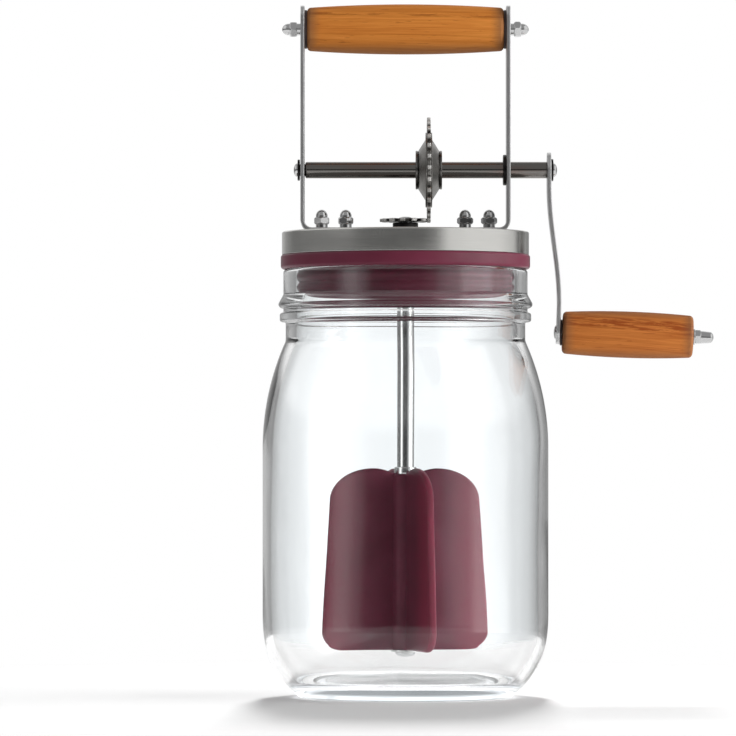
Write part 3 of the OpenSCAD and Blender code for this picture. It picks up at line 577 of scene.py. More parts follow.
def gunmetal(name, dark, light, rough, lit_teeth=None):
    """Blackened steel with tarnish clouds, lighter with wear where the clouds are thin.

    With lit_teeth, an axis and a distance, it is painted lighter and rougher further than that from the
    axis: a painted highlight where the teeth catch the light.
    """
    cloud_scale, fleck_scale, pit = 180.0, 1400.0, 0.000006
    highlight_waver, highlight_width, highlight_rough, highlight_colour = 0.0006, 0.0012, 0.25, (0.62, 0.61, 0.59)
    finish = Finish(name)
    clouds = finish.noise(cloud_scale, 5.0, 0.6)
    flecks = finish.noise(fleck_scale, 2.0)
    colour = finish.mix(finish.between(clouds, 0.35, 0.75), dark, light)
    roughness = clouds * 0.12 + flecks * 0.06 + rough
    if lit_teeth:
        axis, highlight_r = lit_teeth
        distance = finish.round_place(axis, AXLE_Z * MM)[1]
        # Painted highlight: tooth rims lighter than the tarnished steel, standing in for light caught by the
        # teeth.
        painted_highlight = finish.between(distance + flecks * highlight_waver, highlight_r, highlight_r + highlight_width)
        colour = finish.mix(painted_highlight, colour, highlight_colour)
        roughness = roughness + painted_highlight * highlight_rough
    finish.set(Base_Color=colour, Metallic=1.0, Roughness=roughness)
    finish.bump(flecks, pit)
    return finish


def drawn_steel():
    """Dark drawn bar: a smooth surface, fine streaks along its length and a brown cast here and there."""
    dark, light, brown = (0.13, 0.122, 0.115), (0.25, 0.24, 0.225), (0.20, 0.135, 0.12)
    cast_seed, groove = 3.0, 0.000004
    finish = Finish("axle_steel")
    angle, _, along = finish.round_place("X", AXLE_Z * MM)
    streaks = finish.grain(angle * 7.0, along * 6.0, 0.0, 4.0, 0.6)
    cast = finish.between(finish.grain(angle * 1.5, along * 40.0, cast_seed, 2.0), 0.45, 0.7)
    colour = finish.mix(cast * 0.5, finish.mix(streaks, dark, light), brown)
    finish.set(Base_Color=colour, Metallic=1.0, Roughness=streaks * 0.10 + 0.10)
    finish.bump(streaks, groove)
    return finish


def plum_silicone(name, deep, pale, rough, shine, painted_glow=None):
    """Moulded silicone: satin plum with a cloudy bloom and a very fine grain.

    With painted_glow, two distances from the jar's axis and a colour, it turns redder from the first to the
    second: a painted glow standing in for light that comes through thin vanes.
    """
    bloom_scale, pore_scale, pore = 45.0, 2600.0, 0.00001
    finish = Finish(name)
    bloom = finish.noise(bloom_scale, 4.0, 0.55)
    pores = finish.noise(pore_scale, 2.0)
    colour = finish.mix(finish.between(bloom, 0.3, 0.7), deep, pale)
    if painted_glow:
        near, far, painted_red = painted_glow
        # Painted glow: redder towards the vanes' outer ends, standing in for light that shines through them.
        colour = finish.mix(finish.between(finish.round_place("Z")[1], near, far), colour, painted_red)
    finish.set(Base_Color=colour, Roughness=bloom * 0.14 + rough, Specular_IOR_Level=shine)
    finish.bump(pores, pore)
    return finish


def fibre_washer():
    """Dark brown pressed fibre."""
    dark, light = (0.020, 0.010, 0.010), (0.050, 0.026, 0.024)
    fleck_scale, fibre = 1500.0, 0.00004
    finish = Finish("dark_washer")
    flecks = finish.noise(fleck_scale)
    finish.set(Base_Color=finish.mix(flecks, dark, light), Roughness=flecks * 0.2 + 0.5)
    finish.bump(flecks, fibre)
    return finish


def turned_wood(name, seed, node, lean, slope, tones, heart, heart_rings, painted_top_shade):
    """Oiled wood with its grain along X, for the piece in a CAD node whose axis leans down towards +X.

    Growth rings are noise read by the distance from a line above the piece, which slopes and wanders.
    Streaks and fibres are noises stretched along X, and pores are short dark dashes. Ragged streaks of
    heartwood lie between two distances from the line. The lower edge and the ends are darkened towards a
    dark brown as painted shade, and so is the upper edge as far as painted_top_shade says.
    """
    line_up, wander_l, ragged_l, heart_soft = 0.0624, 0.0015, 0.003, 0.0006
    edge_in, edge_out, end_l, painted_low_shade, painted_end_shade = 0.0050, 0.0092, 0.006, 0.55, 0.7
    # Dark brown of the painted shade at the edges and ends.
    painted_shade_colour, pore_depth = (0.20, 0.105, 0.055), 0.00005
    low, high = [corner * MM for corner in node_box(node)]
    centre, half_l = (low + high) / 2, (high[0] - low[0]) / 2
    finish = Finish(name)
    x, y, z = finish.parts(finish.place())
    along = x - float(centre[0])
    up = z - float(centre[2]) + along * lean
    under_line = line_up - up - along * slope
    ring = (y * y + under_line * under_line) ** 0.5
    wander = finish.grain(x * 30.0 + seed, y * 80.0, z * 80.0, 2.0)
    rings = finish.grain(x * 7.0 + seed, (ring + wander * wander_l) * 850.0, 0.0, 4.0, 0.6)
    streaks = finish.grain(x * 14.0 + seed, y * 320.0, z * 320.0, 4.0, 0.6)
    fibres = finish.grain(x * 45.0, y * 1900.0, z * 1900.0, 3.0, 0.6)
    dashes = finish.grain(x * 190.0, y * 2400.0, z * 2400.0, 1.0)
    pores = finish.between(dashes, 0.66, 0.76)
    tone = rings * 0.45 + streaks * 0.30 + fibres * 0.25
    colour = finish.ramp(tone, list(zip((0.36, 0.50, 0.66), tones)))
    ragged = finish.grain(x * 85.0 + seed, ring * 1000.0, y * 40.0, 4.0, 0.7, 0.4)
    band = finish.window(ring + ragged * ragged_l, *heart_rings, heart_soft)
    colour = finish.mix(band * finish.between(ragged, 0.42, 0.58) * 0.8, colour, heart)
    colour = finish.mix(pores * 0.5, colour, heart)
    # Painted shade: the lower and upper edges and the ends are darkened towards a dark brown where light
    # falls off.
    painted_edge_shade = finish.between(up, -edge_in, -edge_out) * painted_low_shade
    painted_edge_shade = painted_edge_shade + finish.between(up, edge_in, edge_out) * painted_top_shade
    ends = finish.between(finish.math("ABSOLUTE", along), half_l - end_l, half_l) * painted_end_shade
    colour = finish.mix(finish.math("MAXIMUM", painted_edge_shade, ends), colour, painted_shade_colour)
    finish.set(Base_Color=colour, Roughness=fibres * 0.2 + 0.5, Specular_IOR_Level=0.1)
    finish.bump(fibres - pores, pore_depth)
    return finish


CLEAR_GLASS = clear_glass()
LID_STEEL = brushed_steel("lid_steel", "Z", (0.51, 0.505, 0.485), (0.61, 0.605, 0.58), 0.20, 5200.0)
LID_STEEL.set(Anisotropic=0.65, Anisotropic_Rotation=0.25)
STRAP_STEEL = brushed_steel("strap_steel", "length", (0.54, 0.54, 0.54), (0.66, 0.66, 0.66), 0.30, 4200.0)
SHAFT_STEEL = brushed_steel("shaft_steel", "Z", (0.62, 0.64, 0.64), (0.80, 0.81, 0.81), 0.12, 6500.0)
BRIGHT_STEEL = brushed_steel("bright_steel", "Z", (0.52, 0.52, 0.52), (0.66, 0.66, 0.66), 0.07, 3000.0)
AXLE_STEEL = drawn_steel()
GEAR_STEEL = gunmetal("gear_steel", (0.17, 0.165, 0.155), (0.32, 0.31, 0.295), 0.22, ("X", 0.0192))
PINION_STEEL = gunmetal("pinion_steel", (0.10, 0.095, 0.09), (0.24, 0.23, 0.22), 0.16, ("Z", 0.0086))
FLANGE_STEEL = gunmetal("flange_steel", (0.10, 0.095, 0.09), (0.24, 0.23, 0.22), 0.16)
BLACK_STEEL = gunmetal("black_steel", (0.018, 0.017, 0.017), (0.06, 0.058, 0.056), 0.25)
SEAL_PLUM = plum_silicone("seal_plum", (0.125, 0.016, 0.037), (0.155, 0.022, 0.049), 0.30, 0.26)
PADDLE_PLUM = plum_silicone("paddle_plum", (0.14, 0.020, 0.044), (0.18, 0.029, 0.060), 0.28, 0.18,
                            (0.014, 0.031, (0.27, 0.032, 0.068)))
FIBRE = fibre_washer()
HANDLE_WOOD = turned_wood("handle_wood", 1.0, "handle_grip", 0.0, 0.02,
                          ((0.77, 0.295, 0.058), (0.65, 0.220, 0.038), (0.48, 0.135, 0.018)),
                          (0.28, 0.06, 0.008), (0.0590, 0.0600), 0.0)
GRIP_WOOD = turned_wood("grip_wood", 4.0, "crank_grip", math.tan(LEAN), 0.055,
                        ((0.70, 0.245, 0.055), (0.58, 0.185, 0.040), (0.43, 0.110, 0.020)),
                        (0.29, 0.048, 0.009), (0.0582, 0.0630), 0.5)


# Jar

def jar_outline():
    """Outside from the base's middle up to the rim, then inside down to the floor's middle.

    The heel and shoulder are arcs tangent to the straight wall, and the inner ones share their centres. The
    bead is an oval quarter below its widest line and a slope above it that touches the oval. Outside, the
    wall eases into the heel: between two heights its radius falls by a cube instead of a square, and what
    that takes off more fades out by a smooth step towards the foot.
    """
    wall, floor, foot_r, foot_w, bevel = 3.5, 6.0, 41.0, 5.0, 1.9
    punt_h, punt_slope, heel_r, shoulder_r, ease = 2.4, 5.0, 34.0, 100.0, 7.0
    mouth_r, neck_wall, neck_h, ring_out, ring_h = 42.5, 3.9, 7.4, 2.3, 3.5
    groove_h, bead_out, bead_under, bead_slope = 1.7, 1.9, 1.6, 3.8
    rim_wall, rim_wall_h, rim_round = 4.8, 9.8, 1.4
    neck_r, rim_r = mouth_r + neck_wall, mouth_r + rim_wall
    ring_r = neck_r + ring_out
    bead_top = JAR_H - rim_wall_h
    bead_z = bead_top - bead_slope
    bead_low = bead_z - bead_under
    ring_top = bead_low - groove_h
    neck_top = ring_top - ring_h
    neck_z = neck_top - neck_h
    heel_x = JAR_R - heel_r
    foot_edge = foot_r + bevel
    heel_z = bevel + math.sqrt(heel_r ** 2 - (foot_edge - heel_x) ** 2)
    foot_angle = math.degrees(math.acos((foot_edge - heel_x) / heel_r))
    shoulder_x = JAR_R - shoulder_r
    shoulder_angle = math.degrees(math.acos((neck_r - shoulder_x) / shoulder_r))
    shoulder_z = neck_z - shoulder_r * math.sin(math.radians(shoulder_angle))
    punt_r = foot_r - foot_w
    heel = arc((heel_x, heel_z), heel_r, -foot_angle, 0, 40)
    heel = heel[heel[:, 1] < heel_z - ease]
    t = (heel_z - ease - heel[:, 1]) / (heel_z - ease - bevel)
    heel[:, 0] -= ease ** 2 / (6 * heel_r) * (1 - t * t * (3 - 2 * t))
    s = np.linspace(ease, -ease, 24)
    heel = joined(heel, np.stack([JAR_R - (s + ease) ** 3 / (12 * ease * heel_r), heel_z - s], 1))
    base = rounded([(0, punt_h), (punt_r - punt_slope, punt_h), (punt_r, 0), (foot_r, 0), heel[0], heel[2]],
                   [0, 2.5, 1.2, 1.2, 1.5, 0])
    shoulder = arc((shoulder_x, shoulder_z), shoulder_r, 0, shoulder_angle, 48)
    bead_end = math.degrees(math.asin(bead_under / bead_slope))
    bead = arc((rim_r, bead_z), (bead_out, bead_under), -90, bead_end, 20)
    neck = rounded([shoulder[-2], shoulder[-1], (neck_r, neck_top), (ring_r, neck_top), (ring_r, ring_top),
                    (rim_r, ring_top), (rim_r, bead_low), bead[4]], [0, 4, 0.8, 0.9, 0.9, 0.5, 0.4, 0])
    rim = joined(arc((rim_r - rim_round, JAR_H - rim_round), rim_round, 0, 90),
                 arc((mouth_r + rim_round, JAR_H - rim_round), rim_round, 90, 180))
    slope = rounded([bead[-1], (rim_r, bead_top), rim[0]], [0, 1.5, 0])
    inner_r = shoulder_r - wall
    mouth_angle = math.degrees(math.acos((mouth_r - shoulder_x) / inner_r))
    inner_shoulder = arc((shoulder_x, shoulder_z), inner_r, mouth_angle, 0, 40)
    mouth = rounded([rim[-1], inner_shoulder[0], inner_shoulder[3]], [0, 6, 0])
    floor_angle = math.degrees(math.asin((heel_z - floor) / (heel_r - wall)))
    inner_heel = arc((heel_x, heel_z), heel_r - wall, 0, -floor_angle, 40)
    inside = rounded([inner_heel[-3], inner_heel[-1], (0, floor)], [0, 6, 0], steps=10)
    return apart(joined(base[:-1], heel[3:], shoulder[:-2], neck, bead[5:-1], slope[:-1], rim,
                        mouth[1:], inner_shoulder[4:], inner_heel[:-3], inside))


def glass_jar():
    """Turned jar whose inner wall swells in and out by a fraction of a millimetre, as blown glass does.

    The swell is a product of sines of the angle and the height, faded out near the floor and the neck.
    """
    segments, swell_share, sharp = 192, 0.0018, 60
    low_z, low_fade, high_z, high_fade = 12, 25, 150, 30
    outline = finely(jar_outline(), 3.0)
    points, quads = turned(outline, segments)
    x, y, z = points.T
    inner = np.arange(len(outline)) > outline[:, 1].argmax()
    fade = np.clip((high_z - z) / high_fade, 0, 1) * np.clip((z - low_z) / low_fade, 0, 1)
    fade *= np.repeat(inner, segments + 1)
    a = np.arctan2(y, x)
    swell = np.sin(3 * a + 0.8 + z / 40) * np.sin(z / 19 + 1.1) + 0.6 * np.sin(5 * a - z / 27)
    grown = 1 + swell_share * fade * swell
    shell = np.stack([x * grown, y * grown, z], 1), quads
    mesh = mesh_of("glass_jar_body", [shell], sharp)
    piece("glass_jar_body", "jar", "clear_glass", CLEAR_GLASS, mesh, "glass_jar")


# Lid

def lid_cap():
    """Pressed cap: flat top, a bend at the edge and a plain skirt, as one closed sheet."""
    bend, edge = 0.7, 0.2
    r, low = CAP_HIGH[0], CAP_LOW[2]
    inner_r, under = r - CAP_SHEET, LID_TOP - CAP_SHEET
    corners = [(0, LID_TOP), (r, LID_TOP), (r, low), (inner_r, low), (inner_r, under), (0, under)]
    outline = finely(rounded(corners, [0, bend, edge, edge, edge, 0], steps=10), 4.0)
    piece("lid_cap_shell", "lid", "lid_steel", LID_STEEL, [turned(outline, 192)], "lid_cap")


def lid_seal():
    """Soft stopper. The plug's side is body_r plus three raised-cosine ribs between its ends."""
    plug_r, rib_depth, plug_wall, ribs, rib_curve = 42.2, 0.9, 4.6, 3, 0.7
    rib_start, rib_short, lip_h, spigot_gap, recess_r, recess_h = 1, 2.4, 3, 0.95, 37.5, 4.1
    low, top, flange_r, cap_z = SEAL_LOW[2], SEAL_HIGH[2], SEAL_HIGH[0], CAP_LOW[2]
    spigot_r = CAP_HIGH[0] - spigot_gap
    body_r = plug_r - rib_depth
    bore_r = body_r - plug_wall
    recess_z = top - recess_h
    t = np.linspace(0, 1, 73)
    side_r = body_r + rib_depth * (0.5 - 0.5 * np.cos(TAU * ribs * t)) ** rib_curve
    side = np.stack([side_r, low + rib_start + t * (JAR_H - rib_short - low)], 1)
    start = (bore_r, low + lip_h)
    lower = rounded([start, (bore_r, low), (body_r, low), side[0]], [0, 0.8, 0.9, 0])
    upper = rounded([side[-1], (body_r, JAR_H), (flange_r, JAR_H), (flange_r, cap_z), (spigot_r, cap_z),
                     (spigot_r, top), (recess_r, top), (recess_r, recess_z), (bore_r, recess_z), start],
                    [0, 0.6, 1.3, 1.0, 0.3, 0.7, 0.4, 0.4, 0.6, 0])
    outline = apart(joined(lower, side, upper))
    piece("lid_seal_stopper", "lid", "plum_silicone", SEAL_PLUM, [turned(outline, 192)], "lid_seal")


def bracket(side, way, axle_hole_r):
    """Bent strip with its holes: foot on the cap, a bend, and an upright with rounded top corners."""
    bend_r, corner_r, foot_corner, edge = 4.5, 4.0, 0.8, 0.35
    half_t, half_w = STRAP_T / 2, BRACKET_HIGH[1]
    bend = arc((STRAP_X - bend_r, LID_TOP + bend_r), bend_r - half_t, -90, 0, 14)
    foot = np.linspace((BRACKET_LOW[0], LID_TOP + half_t), bend[0], 24)
    b = np.radians(np.linspace(0, 90, 13))
    head_z = BRACKET_HIGH[2] - corner_r + corner_r * np.sin(b)
    head = np.stack([np.full(len(b), bend[-1][0]), head_z], 1)
    upright = np.linspace(bend[-1], head[0], 40)
    path = joined(foot[:-1], bend, upright[1:-1], head)
    width = np.full(len(path), half_w)
    width[-len(b):] = half_w - corner_r + corner_r * np.cos(b)
    width[0] -= foot_corner
    points, quads = strip(path, width, STRAP_T, edge)
    drill_l = 4 * STRAP_T
    drills = [along_x(rod(r, drill_l), STRAP_X - drill_l / 2, z)
              for r, z in ((axle_hole_r, AXLE_Z), (SCREW_HOLE / 2, HANDLE_Z))]
    drills += [moved(rod(SCREW_HOLE / 2, drill_l), (x, 0, LID_TOP - STRAP_T)) for x in SCREW_XS]
    mirror = [way, 1, 1]
    name = side + "_bracket_strip"
    mesh = combined(name, (points * mirror, quads), [(p * mirror, q) for p, q in drills], "DIFFERENCE")
    piece(name, "lid", "strap_steel", STRAP_STEEL, mesh, side + "_bracket")


def nuts():
    """Domed nuts on the brackets' feet and the handle's ends, the spindle's slim nut and the clamp nut."""
    nut = domed_nut()
    foot_top = LID_TOP + STRAP_T
    end_turn, foot_turns = 24, (24, 38, 7, 51)
    places = [(way * x, 0, foot_top) for way in (-1, 1) for x in SCREW_XS]
    feet = [moved(spun(nut, turn), place) for turn, place in zip(foot_turns, places)]
    piece("bracket_domed_nuts", "lid", "bright_steel", BRIGHT_STEEL, feet, "bracket_nuts")
    ends = [along_x(spun(nut, end_turn), way * STRAP_X, HANDLE_Z, way) for way in (1, -1)]
    piece("handle_domed_nuts", "lid", "bright_steel", BRIGHT_STEEL, ends, "handle_nuts")
    end = on_spindle(spun(slim_nut(), end_turn), SPINDLE_END + GRIP_WASHER_T)
    piece("crank_domed_nut", "crank", "bright_steel", BRIGHT_STEEL, [end], "crank_nut")
    low, high = node_box("shaft_bush_nut")
    flats, bore_r, bevel = 12.0, 4.05, 0.4
    corner_r, height = flats / 2 / math.cos(TAU / 12), high[2] - low[2]
    side = np.array([(bore_r, 0), (corner_r - bevel, 0), (corner_r, bevel), (corner_r, height - bevel),
                     (corner_r - bevel, height), (bore_r, height), (bore_r, 0)])
    clamp = moved(hexagonal(finely(side, 0.2), flats), (0, 0, low[2]))
    piece("shaft_clamp_nut", "lid", "bright_steel", BRIGHT_STEEL, [clamp], "shaft_bush_nut")


def barrel(length, mid_r, end_r, bore_r):
    """Turned barrel along Z: radius end_r + (mid_r - end_r)(1 - u^2), with rounded edges and a bore."""
    edge = 1.6
    u = np.linspace(-1, 1, 61)
    side = np.stack([end_r + (mid_r - end_r) * (1 - u * u), length / 2 + u * (length / 2 - edge)], 1)
    lower = arc((end_r - edge, edge), edge, -90, 0)
    upper = arc((end_r - edge, length - edge), edge, 0, 90)
    outline = joined([(bore_r, 0)], lower, side, upper, [(bore_r, length), (bore_r, 0)])
    return turned(apart(outline), 128)


def wooden_grips():
    """Carrying handle between the brackets and the grip that spins on the crank."""
    handle_end_r, handle_bore_r, grip_end_r, grip_bore_r = 8.45, 1.7, 8.2, 2.31
    low, high = node_box("handle_grip")
    handle = barrel(high[0] - low[0], high[1], handle_end_r, handle_bore_r)
    handle = along_x(handle, low[0], HANDLE_Z)
    piece("carrying_handle", "lid", "turned_wood", HANDLE_WOOD, [handle], "handle_grip")
    grip = barrel(GRIP_L, node_box("crank_grip")[1][1], grip_end_r, grip_bore_r)
    grip = on_spindle(grip, GRIP_AT)
    piece("crank_wooden_grip", "crank_handle", "turned_wood", GRIP_WOOD, [grip], "crank_grip")


def washers():
    """Flat rings at the handle's ends, at both ends of the axle and beside the crank's grip."""
    handle_bore_r, handle_t, handle_edge = 1.7, 1.0, 0.25
    axle_bore_r, thrust_bore_r, end_bore_r, edge = 1.3, 2.3, 1.55, 0.2
    low, high = node_box("handle_washers")
    disc = ring(high[1], handle_bore_r, handle_t, handle_edge)
    ends = [along_x(disc, low[0], HANDLE_Z), along_x(disc, high[0], HANDLE_Z, -1)]
    piece("handle_end_washers", "lid", "dark_washer", FIBRE, ends, "handle_washers")
    for node in ("axle_end_washer", "arm_washer"):
        low, high = node_box(node)
        disc = along_x(ring(high[1], axle_bore_r, high[0] - low[0], edge), low[0], AXLE_Z)
        piece(node + "_ring", "crank", "dark_steel", BLACK_STEEL, [disc], node)
    thrust = ring(node_box("grip_thrust_washer")[1][1], thrust_bore_r, GRIP_WASHER_T, edge)
    thrust = on_spindle(thrust, SEAT_AT)
    piece("grip_thrust_ring", "crank", "dark_washer", FIBRE, [thrust], "grip_thrust_washer")
    end = ring(node_box("grip_end_washer")[1][1], end_bore_r, GRIP_WASHER_T, edge)
    end = on_spindle(end, SPINDLE_END)
    piece("grip_end_ring", "crank", "strap_steel", STRAP_STEEL, [end], "grip_end_washer")


def bearing_bushes():
    """Flanged bushes: one in the right bracket for the axle, one in the cap for the dasher's shaft."""
    low, high = node_box("right_axle_bush")
    length, flange_t, bore_r, bush_r = high[0] - low[0], 1.3, 3.26, 4.5
    outline = rounded([(bore_r, 0), (high[1], 0), (high[1], flange_t), (bush_r, flange_t), (bush_r, length),
                       (bore_r, length)], [0.2, 0.35, 0.35, 0.1, 0.2, 0.2], closed=True)
    bush = along_x(turned(outline), low[0], AXLE_Z)
    piece("right_bearing_bush", "lid", "dark_steel", BLACK_STEEL, [bush], "right_axle_bush")
    low, high = node_box("shaft_bush")
    bore_r, bush_r, head_r = 2.56, 4.0, high[0]
    outline = rounded([(bore_r, low[2]), (bush_r, low[2]), (bush_r, LID_TOP), (head_r, LID_TOP),
                       (head_r, high[2]), (bore_r, high[2])], [0.2, 0.2, 0.1, 0.2, 0.5, 0.2], closed=True)
    piece("shaft_bearing_bush", "lid", "dark_steel", BLACK_STEEL, [turned(outline)], "shaft_bush")


# Crank

def crank_axle():
    """Axle with a journal in the left bush, a long plain rod and a short end in the arm."""
    low, high = node_box("crank_axle")
    journal_r, journal_l, seat_r, r = 2.3, 2.1, 2.1, high[1]
    seat, length = ARM_X - low[0], high[0] - low[0]
    outline = rounded([(0, 0), (journal_r, 0), (journal_r, journal_l), (r, journal_l), (r, seat),
                       (seat_r, seat), (seat_r, length), (0, length)],
                      [0, 0.2, 0.1, 0.7, 0.3, 0.1, 0.2, 0])
    axle = along_x(turned(finely(outline, 4)), low[0], AXLE_Z)
    piece("crank_axle_rod", "crank", "dark_steel", AXLE_STEEL, [axle], "crank_axle")


def end_screws():
    """Domed screws at the axle's two ends, and the low one on the pinion."""
    stem_r, stem_l, head_h, low_head_h = 1.25, 8.0, 1.5, 0.9
    head = domed_head(HEAD_R, head_h, stem_r, stem_l)
    left = along_x(head, node_box("axle_end_screw")[0][0] + head_h, AXLE_Z, -1)
    piece("axle_end_screw_left", "crank", "bright_steel", BRIGHT_STEEL, [left], "axle_end_screw")
    right = along_x(head, node_box("arm_screw")[1][0] - head_h, AXLE_Z)
    piece("crank_arm_screw", "crank", "bright_steel", BRIGHT_STEEL, [right], "arm_screw")
    top = node_box("pinion_screw")[1][2] - low_head_h
    lowered = moved(domed_head(HEAD_R, low_head_h, stem_r, stem_l), (0, 0, top))
    piece("pinion_low_screw", "dasher", "bright_steel", BRIGHT_STEEL, [lowered], "pinion_screw")


def gears():
    """Drive gear with its dished cheeks and flanges, and the pinion that it turns."""
    teeth, edge, bore_r = 28, 0.25, 4.55
    pinion_teeth, pinion_edge, pinion_bore_r = 13, 0.22, 2.3
    flange_r, flange_t = 7.5, 0.9
    low, high = node_box("drive_gear")
    middle_x = middle("drive_gear")[0]
    disc = toothed_disc(teeth, high[1], bore_r, high[0] - low[0], edge, 0)
    wheel = along_x(disc, middle_x, AXLE_Z)
    piece("drive_gear_disc", "crank", "dark_steel", GEAR_STEEL, [wheel], "drive_gear")
    rim_in, sheet, out, rim_r, knee_r, face_r = 0.675, 0.6, 4.2, 14.5, 11.8, 7.2
    corners = [(rim_r, rim_in), (rim_r, rim_in + sheet), (knee_r, rim_in + sheet), (face_r, out),
               (bore_r, out), (bore_r, out - sheet), (face_r - sheet / 2, out - sheet),
               (knee_r - sheet / 2, rim_in)]
    cheek = turned(rounded(corners, [0.2, 0.25, 1.2, 1.0, 0.15, 0.15, 0.6, 0.8], closed=True))
    for side, way in (("left", -1), ("right", 1)):
        node = "gear_cheek_" + side
        dish = along_x(cheek, middle_x, AXLE_Z, way)
        piece(node + "_dish", "crank", "dark_steel", GEAR_STEEL, [dish], node)
    flange = ring(flange_r, bore_r, flange_t, edge)
    pair = [along_x(flange, middle_x + way * out, AXLE_Z, way) for way in (-1, 1)]
    piece("gear_side_flanges", "crank", "dark_steel", FLANGE_STEEL, pair, "gear_flanges")
    low, high = node_box("pinion")
    half_pitch = TAU / (2 * pinion_teeth)
    disc = toothed_disc(pinion_teeth, -low[0], pinion_bore_r, high[2] - low[2], pinion_edge, half_pitch)
    lying = moved(disc, (0, 0, middle("pinion")[2]))
    piece("pinion_disc", "dasher", "dark_steel", PINION_STEEL, [lying], "pinion")


def crank_arm():
    """Flat arm: a strip set outwards by half a cosine wave, leaning in below that, with tapered width."""
    top_r, bottom_r, joggle, joggle_start, joggle_l, edge = 6.8, 4.6, 3.9, 6.0, 46.0, 0.35
    grip_z = SPINDLE[2]
    b = np.radians(np.linspace(0, 90, 16))
    z = joined(AXLE_Z + top_r * np.cos(b), np.linspace(AXLE_Z, grip_z, 60)[1:-1],
               grip_z - bottom_r * np.sin(b))
    below = AXLE_Z - joggle_start - z
    t = np.clip(below / joggle_l, 0, 1)
    lean = np.maximum(below - joggle_l, 0) * math.tan(LEAN)
    x = ARM_X + ARM_T / 2 + joggle * (1 - np.cos(math.pi * t)) / 2 - lean
    taper = top_r + (bottom_r - top_r) * (AXLE_Z - z) / (AXLE_Z - grip_z)
    upper = np.sqrt(np.maximum(top_r ** 2 - (z - AXLE_Z) ** 2, 0))
    lower = np.sqrt(np.maximum(bottom_r ** 2 - (z - grip_z) ** 2, 0))
    width = np.where(z > AXLE_Z, upper, np.where(z < grip_z, lower, taper))
    shell = strip(np.stack([x, z], 1), width, ARM_T, edge)
    piece("crank_arm_strip", "crank", "strap_steel", STRAP_STEEL, [shell], "crank_arm")


# Dasher

def dasher_shaft():
    """Shaft with a journal in the bush and rounded shoulders, and the collar above the paddle."""
    low, high = node_box("dasher_shaft")
    r, journal_r, tip_r, tip_l, play = high[0], 2.5, 1.6, 1.0, 0.3
    collar_bore_r, collar_edge = 3.35, 0.4
    foot, top = low[2], high[2]
    shoulder = node_box("shaft_bush")[0][2] - play
    outline = rounded([(0, foot), (r, foot), (r, shoulder), (journal_r, shoulder), (journal_r, top - tip_l),
                       (tip_r, top - tip_l), (tip_r, top), (0, top)],
                      [0, 0.2, 0.4, 0.1, 0.2, 0.1, 0.2, 0])
    shaft = turned(finely(outline, 4))
    piece("dasher_shaft_rod", "dasher", "shaft_steel", SHAFT_STEEL, [shaft], "dasher_shaft")
    low, high = node_box("shaft_collar")
    collar = moved(ring(high[0], collar_bore_r, high[2] - low[2], collar_edge), (0, 0, low[2]))
    piece("shaft_collar_ring", "dasher", "shaft_steel", SHAFT_STEEL, [collar], "shaft_collar")


VANE_DIP = 2.4


def vane_pair_outline(height):
    """Outline of two opposite vanes in (across, up): lower corners, sloping sides, oval shoulders, a dip."""
    bottom_r, top_r, corner_r, shoulder_w, shoulder_h = 33.7, 30.6, 8.0, 17.6, 12.6
    corner = arc((bottom_r - corner_r, corner_r), corner_r, -90, 0, 16)
    shoulder = arc((top_r - shoulder_w, height - shoulder_h), (shoulder_w, shoulder_h), 0, 90, 32)
    t = np.linspace(1, 0, 20)[1:]
    crest = np.stack([shoulder[-1][0] * t, height - VANE_DIP * (1 + np.cos(math.pi * t)) / 2], 1)
    right = joined([(0, 0)], corner, shoulder, crest)
    left = right[-2:0:-1] * [-1, 1]
    return finely(joined(right, left, right[:1]), 1.5)[:-1]


def vane_pair(height, thickness, edge):
    """Plate with rounded edges: the outline is drawn in by edge (1 - sin q) as it nears each face.

    From each face's middle the rings run out to the drawn-in outline, round the edge and back.
    """
    loop = vane_pair_outline(height)
    ahead = np.roll(loop, -1, 0) - np.roll(loop, 1, 0)
    outwards = unit(np.stack([ahead[:, 1], -ahead[:, 0]], 1))
    q = np.radians(np.linspace(0, 90, 9))
    inset = edge * (1 - np.sin(joined(q, q[::-1])))
    level = thickness / 2 - edge * (1 - np.cos(q))
    level = joined(level[:1], level, -level[::-1], -level[:1])
    rings = loop - inset[:, None, None] * outwards
    centre = np.broadcast_to([0, height / 2], (1, *loop.shape))
    rings = joined(centre, rings, centre)
    points = np.stack([rings[..., 0], level[:, None] + 0 * rings[..., 0], rings[..., 1]], 2)
    return surface(np.concatenate([points, points[:, :1]], 1))


def paddle():
    """Soft paddle: two pairs of vanes at right angles and a hub, joined into one skin."""
    turn, vane_t, vane_edge, hub_r = 18, 3.0, 1.2, 5.75
    low, height = PADDLE_LOW[2], PADDLE_HIGH[2] - PADDLE_LOW[2]
    plate = vane_pair(height, vane_t, vane_edge)
    hub_h = height - VANE_DIP
    hub = turned(rounded([(0, 0), (hub_r, 0), (hub_r, hub_h), (0, hub_h)], [0, 0.8, 0.8, 0]), 64)
    shells = [spun(plate, turn), spun(plate, turn + 90), hub]
    first, *others = [moved(shell, (0, 0, low)) for shell in shells]
    skin = combined("paddle_vanes", first, others, "UNION")
    piece("paddle_vanes", "dasher", "plum_silicone", PADDLE_PLUM, skin, "paddle")


def finish_plain_nodes():
    """Gives the CAD nodes that still show their finish."""
    finishes = {
        BRIGHT_STEEL: ["bracket_screws", "handle_tie_rod", "gear_pin", "crank_spindle", "paddle_screw",
                       "paddle_washer"],
        BLACK_STEEL: ["left_axle_bush", "gear_hub_sleeve"],
        FIBRE: ["screw_washers"],
    }
    for finish, names in finishes.items():
        for name in names:
            for slot in frame["nodes"][name].material_slots:
                slot.material = finish.material


glass_jar()
lid_cap()
lid_seal()
bracket("right", 1, axle_hole_r=4.55)
bracket("left", -1, axle_hole_r=3.45)
nuts()
wooden_grips()
washers()
bearing_bushes()
crank_axle()
end_screws()
gears()
crank_arm()
dasher_shaft()
paddle()
finish_plain_nodes()


# Studio

def grey(value):
    """A neutral colour."""
    return value, value, value


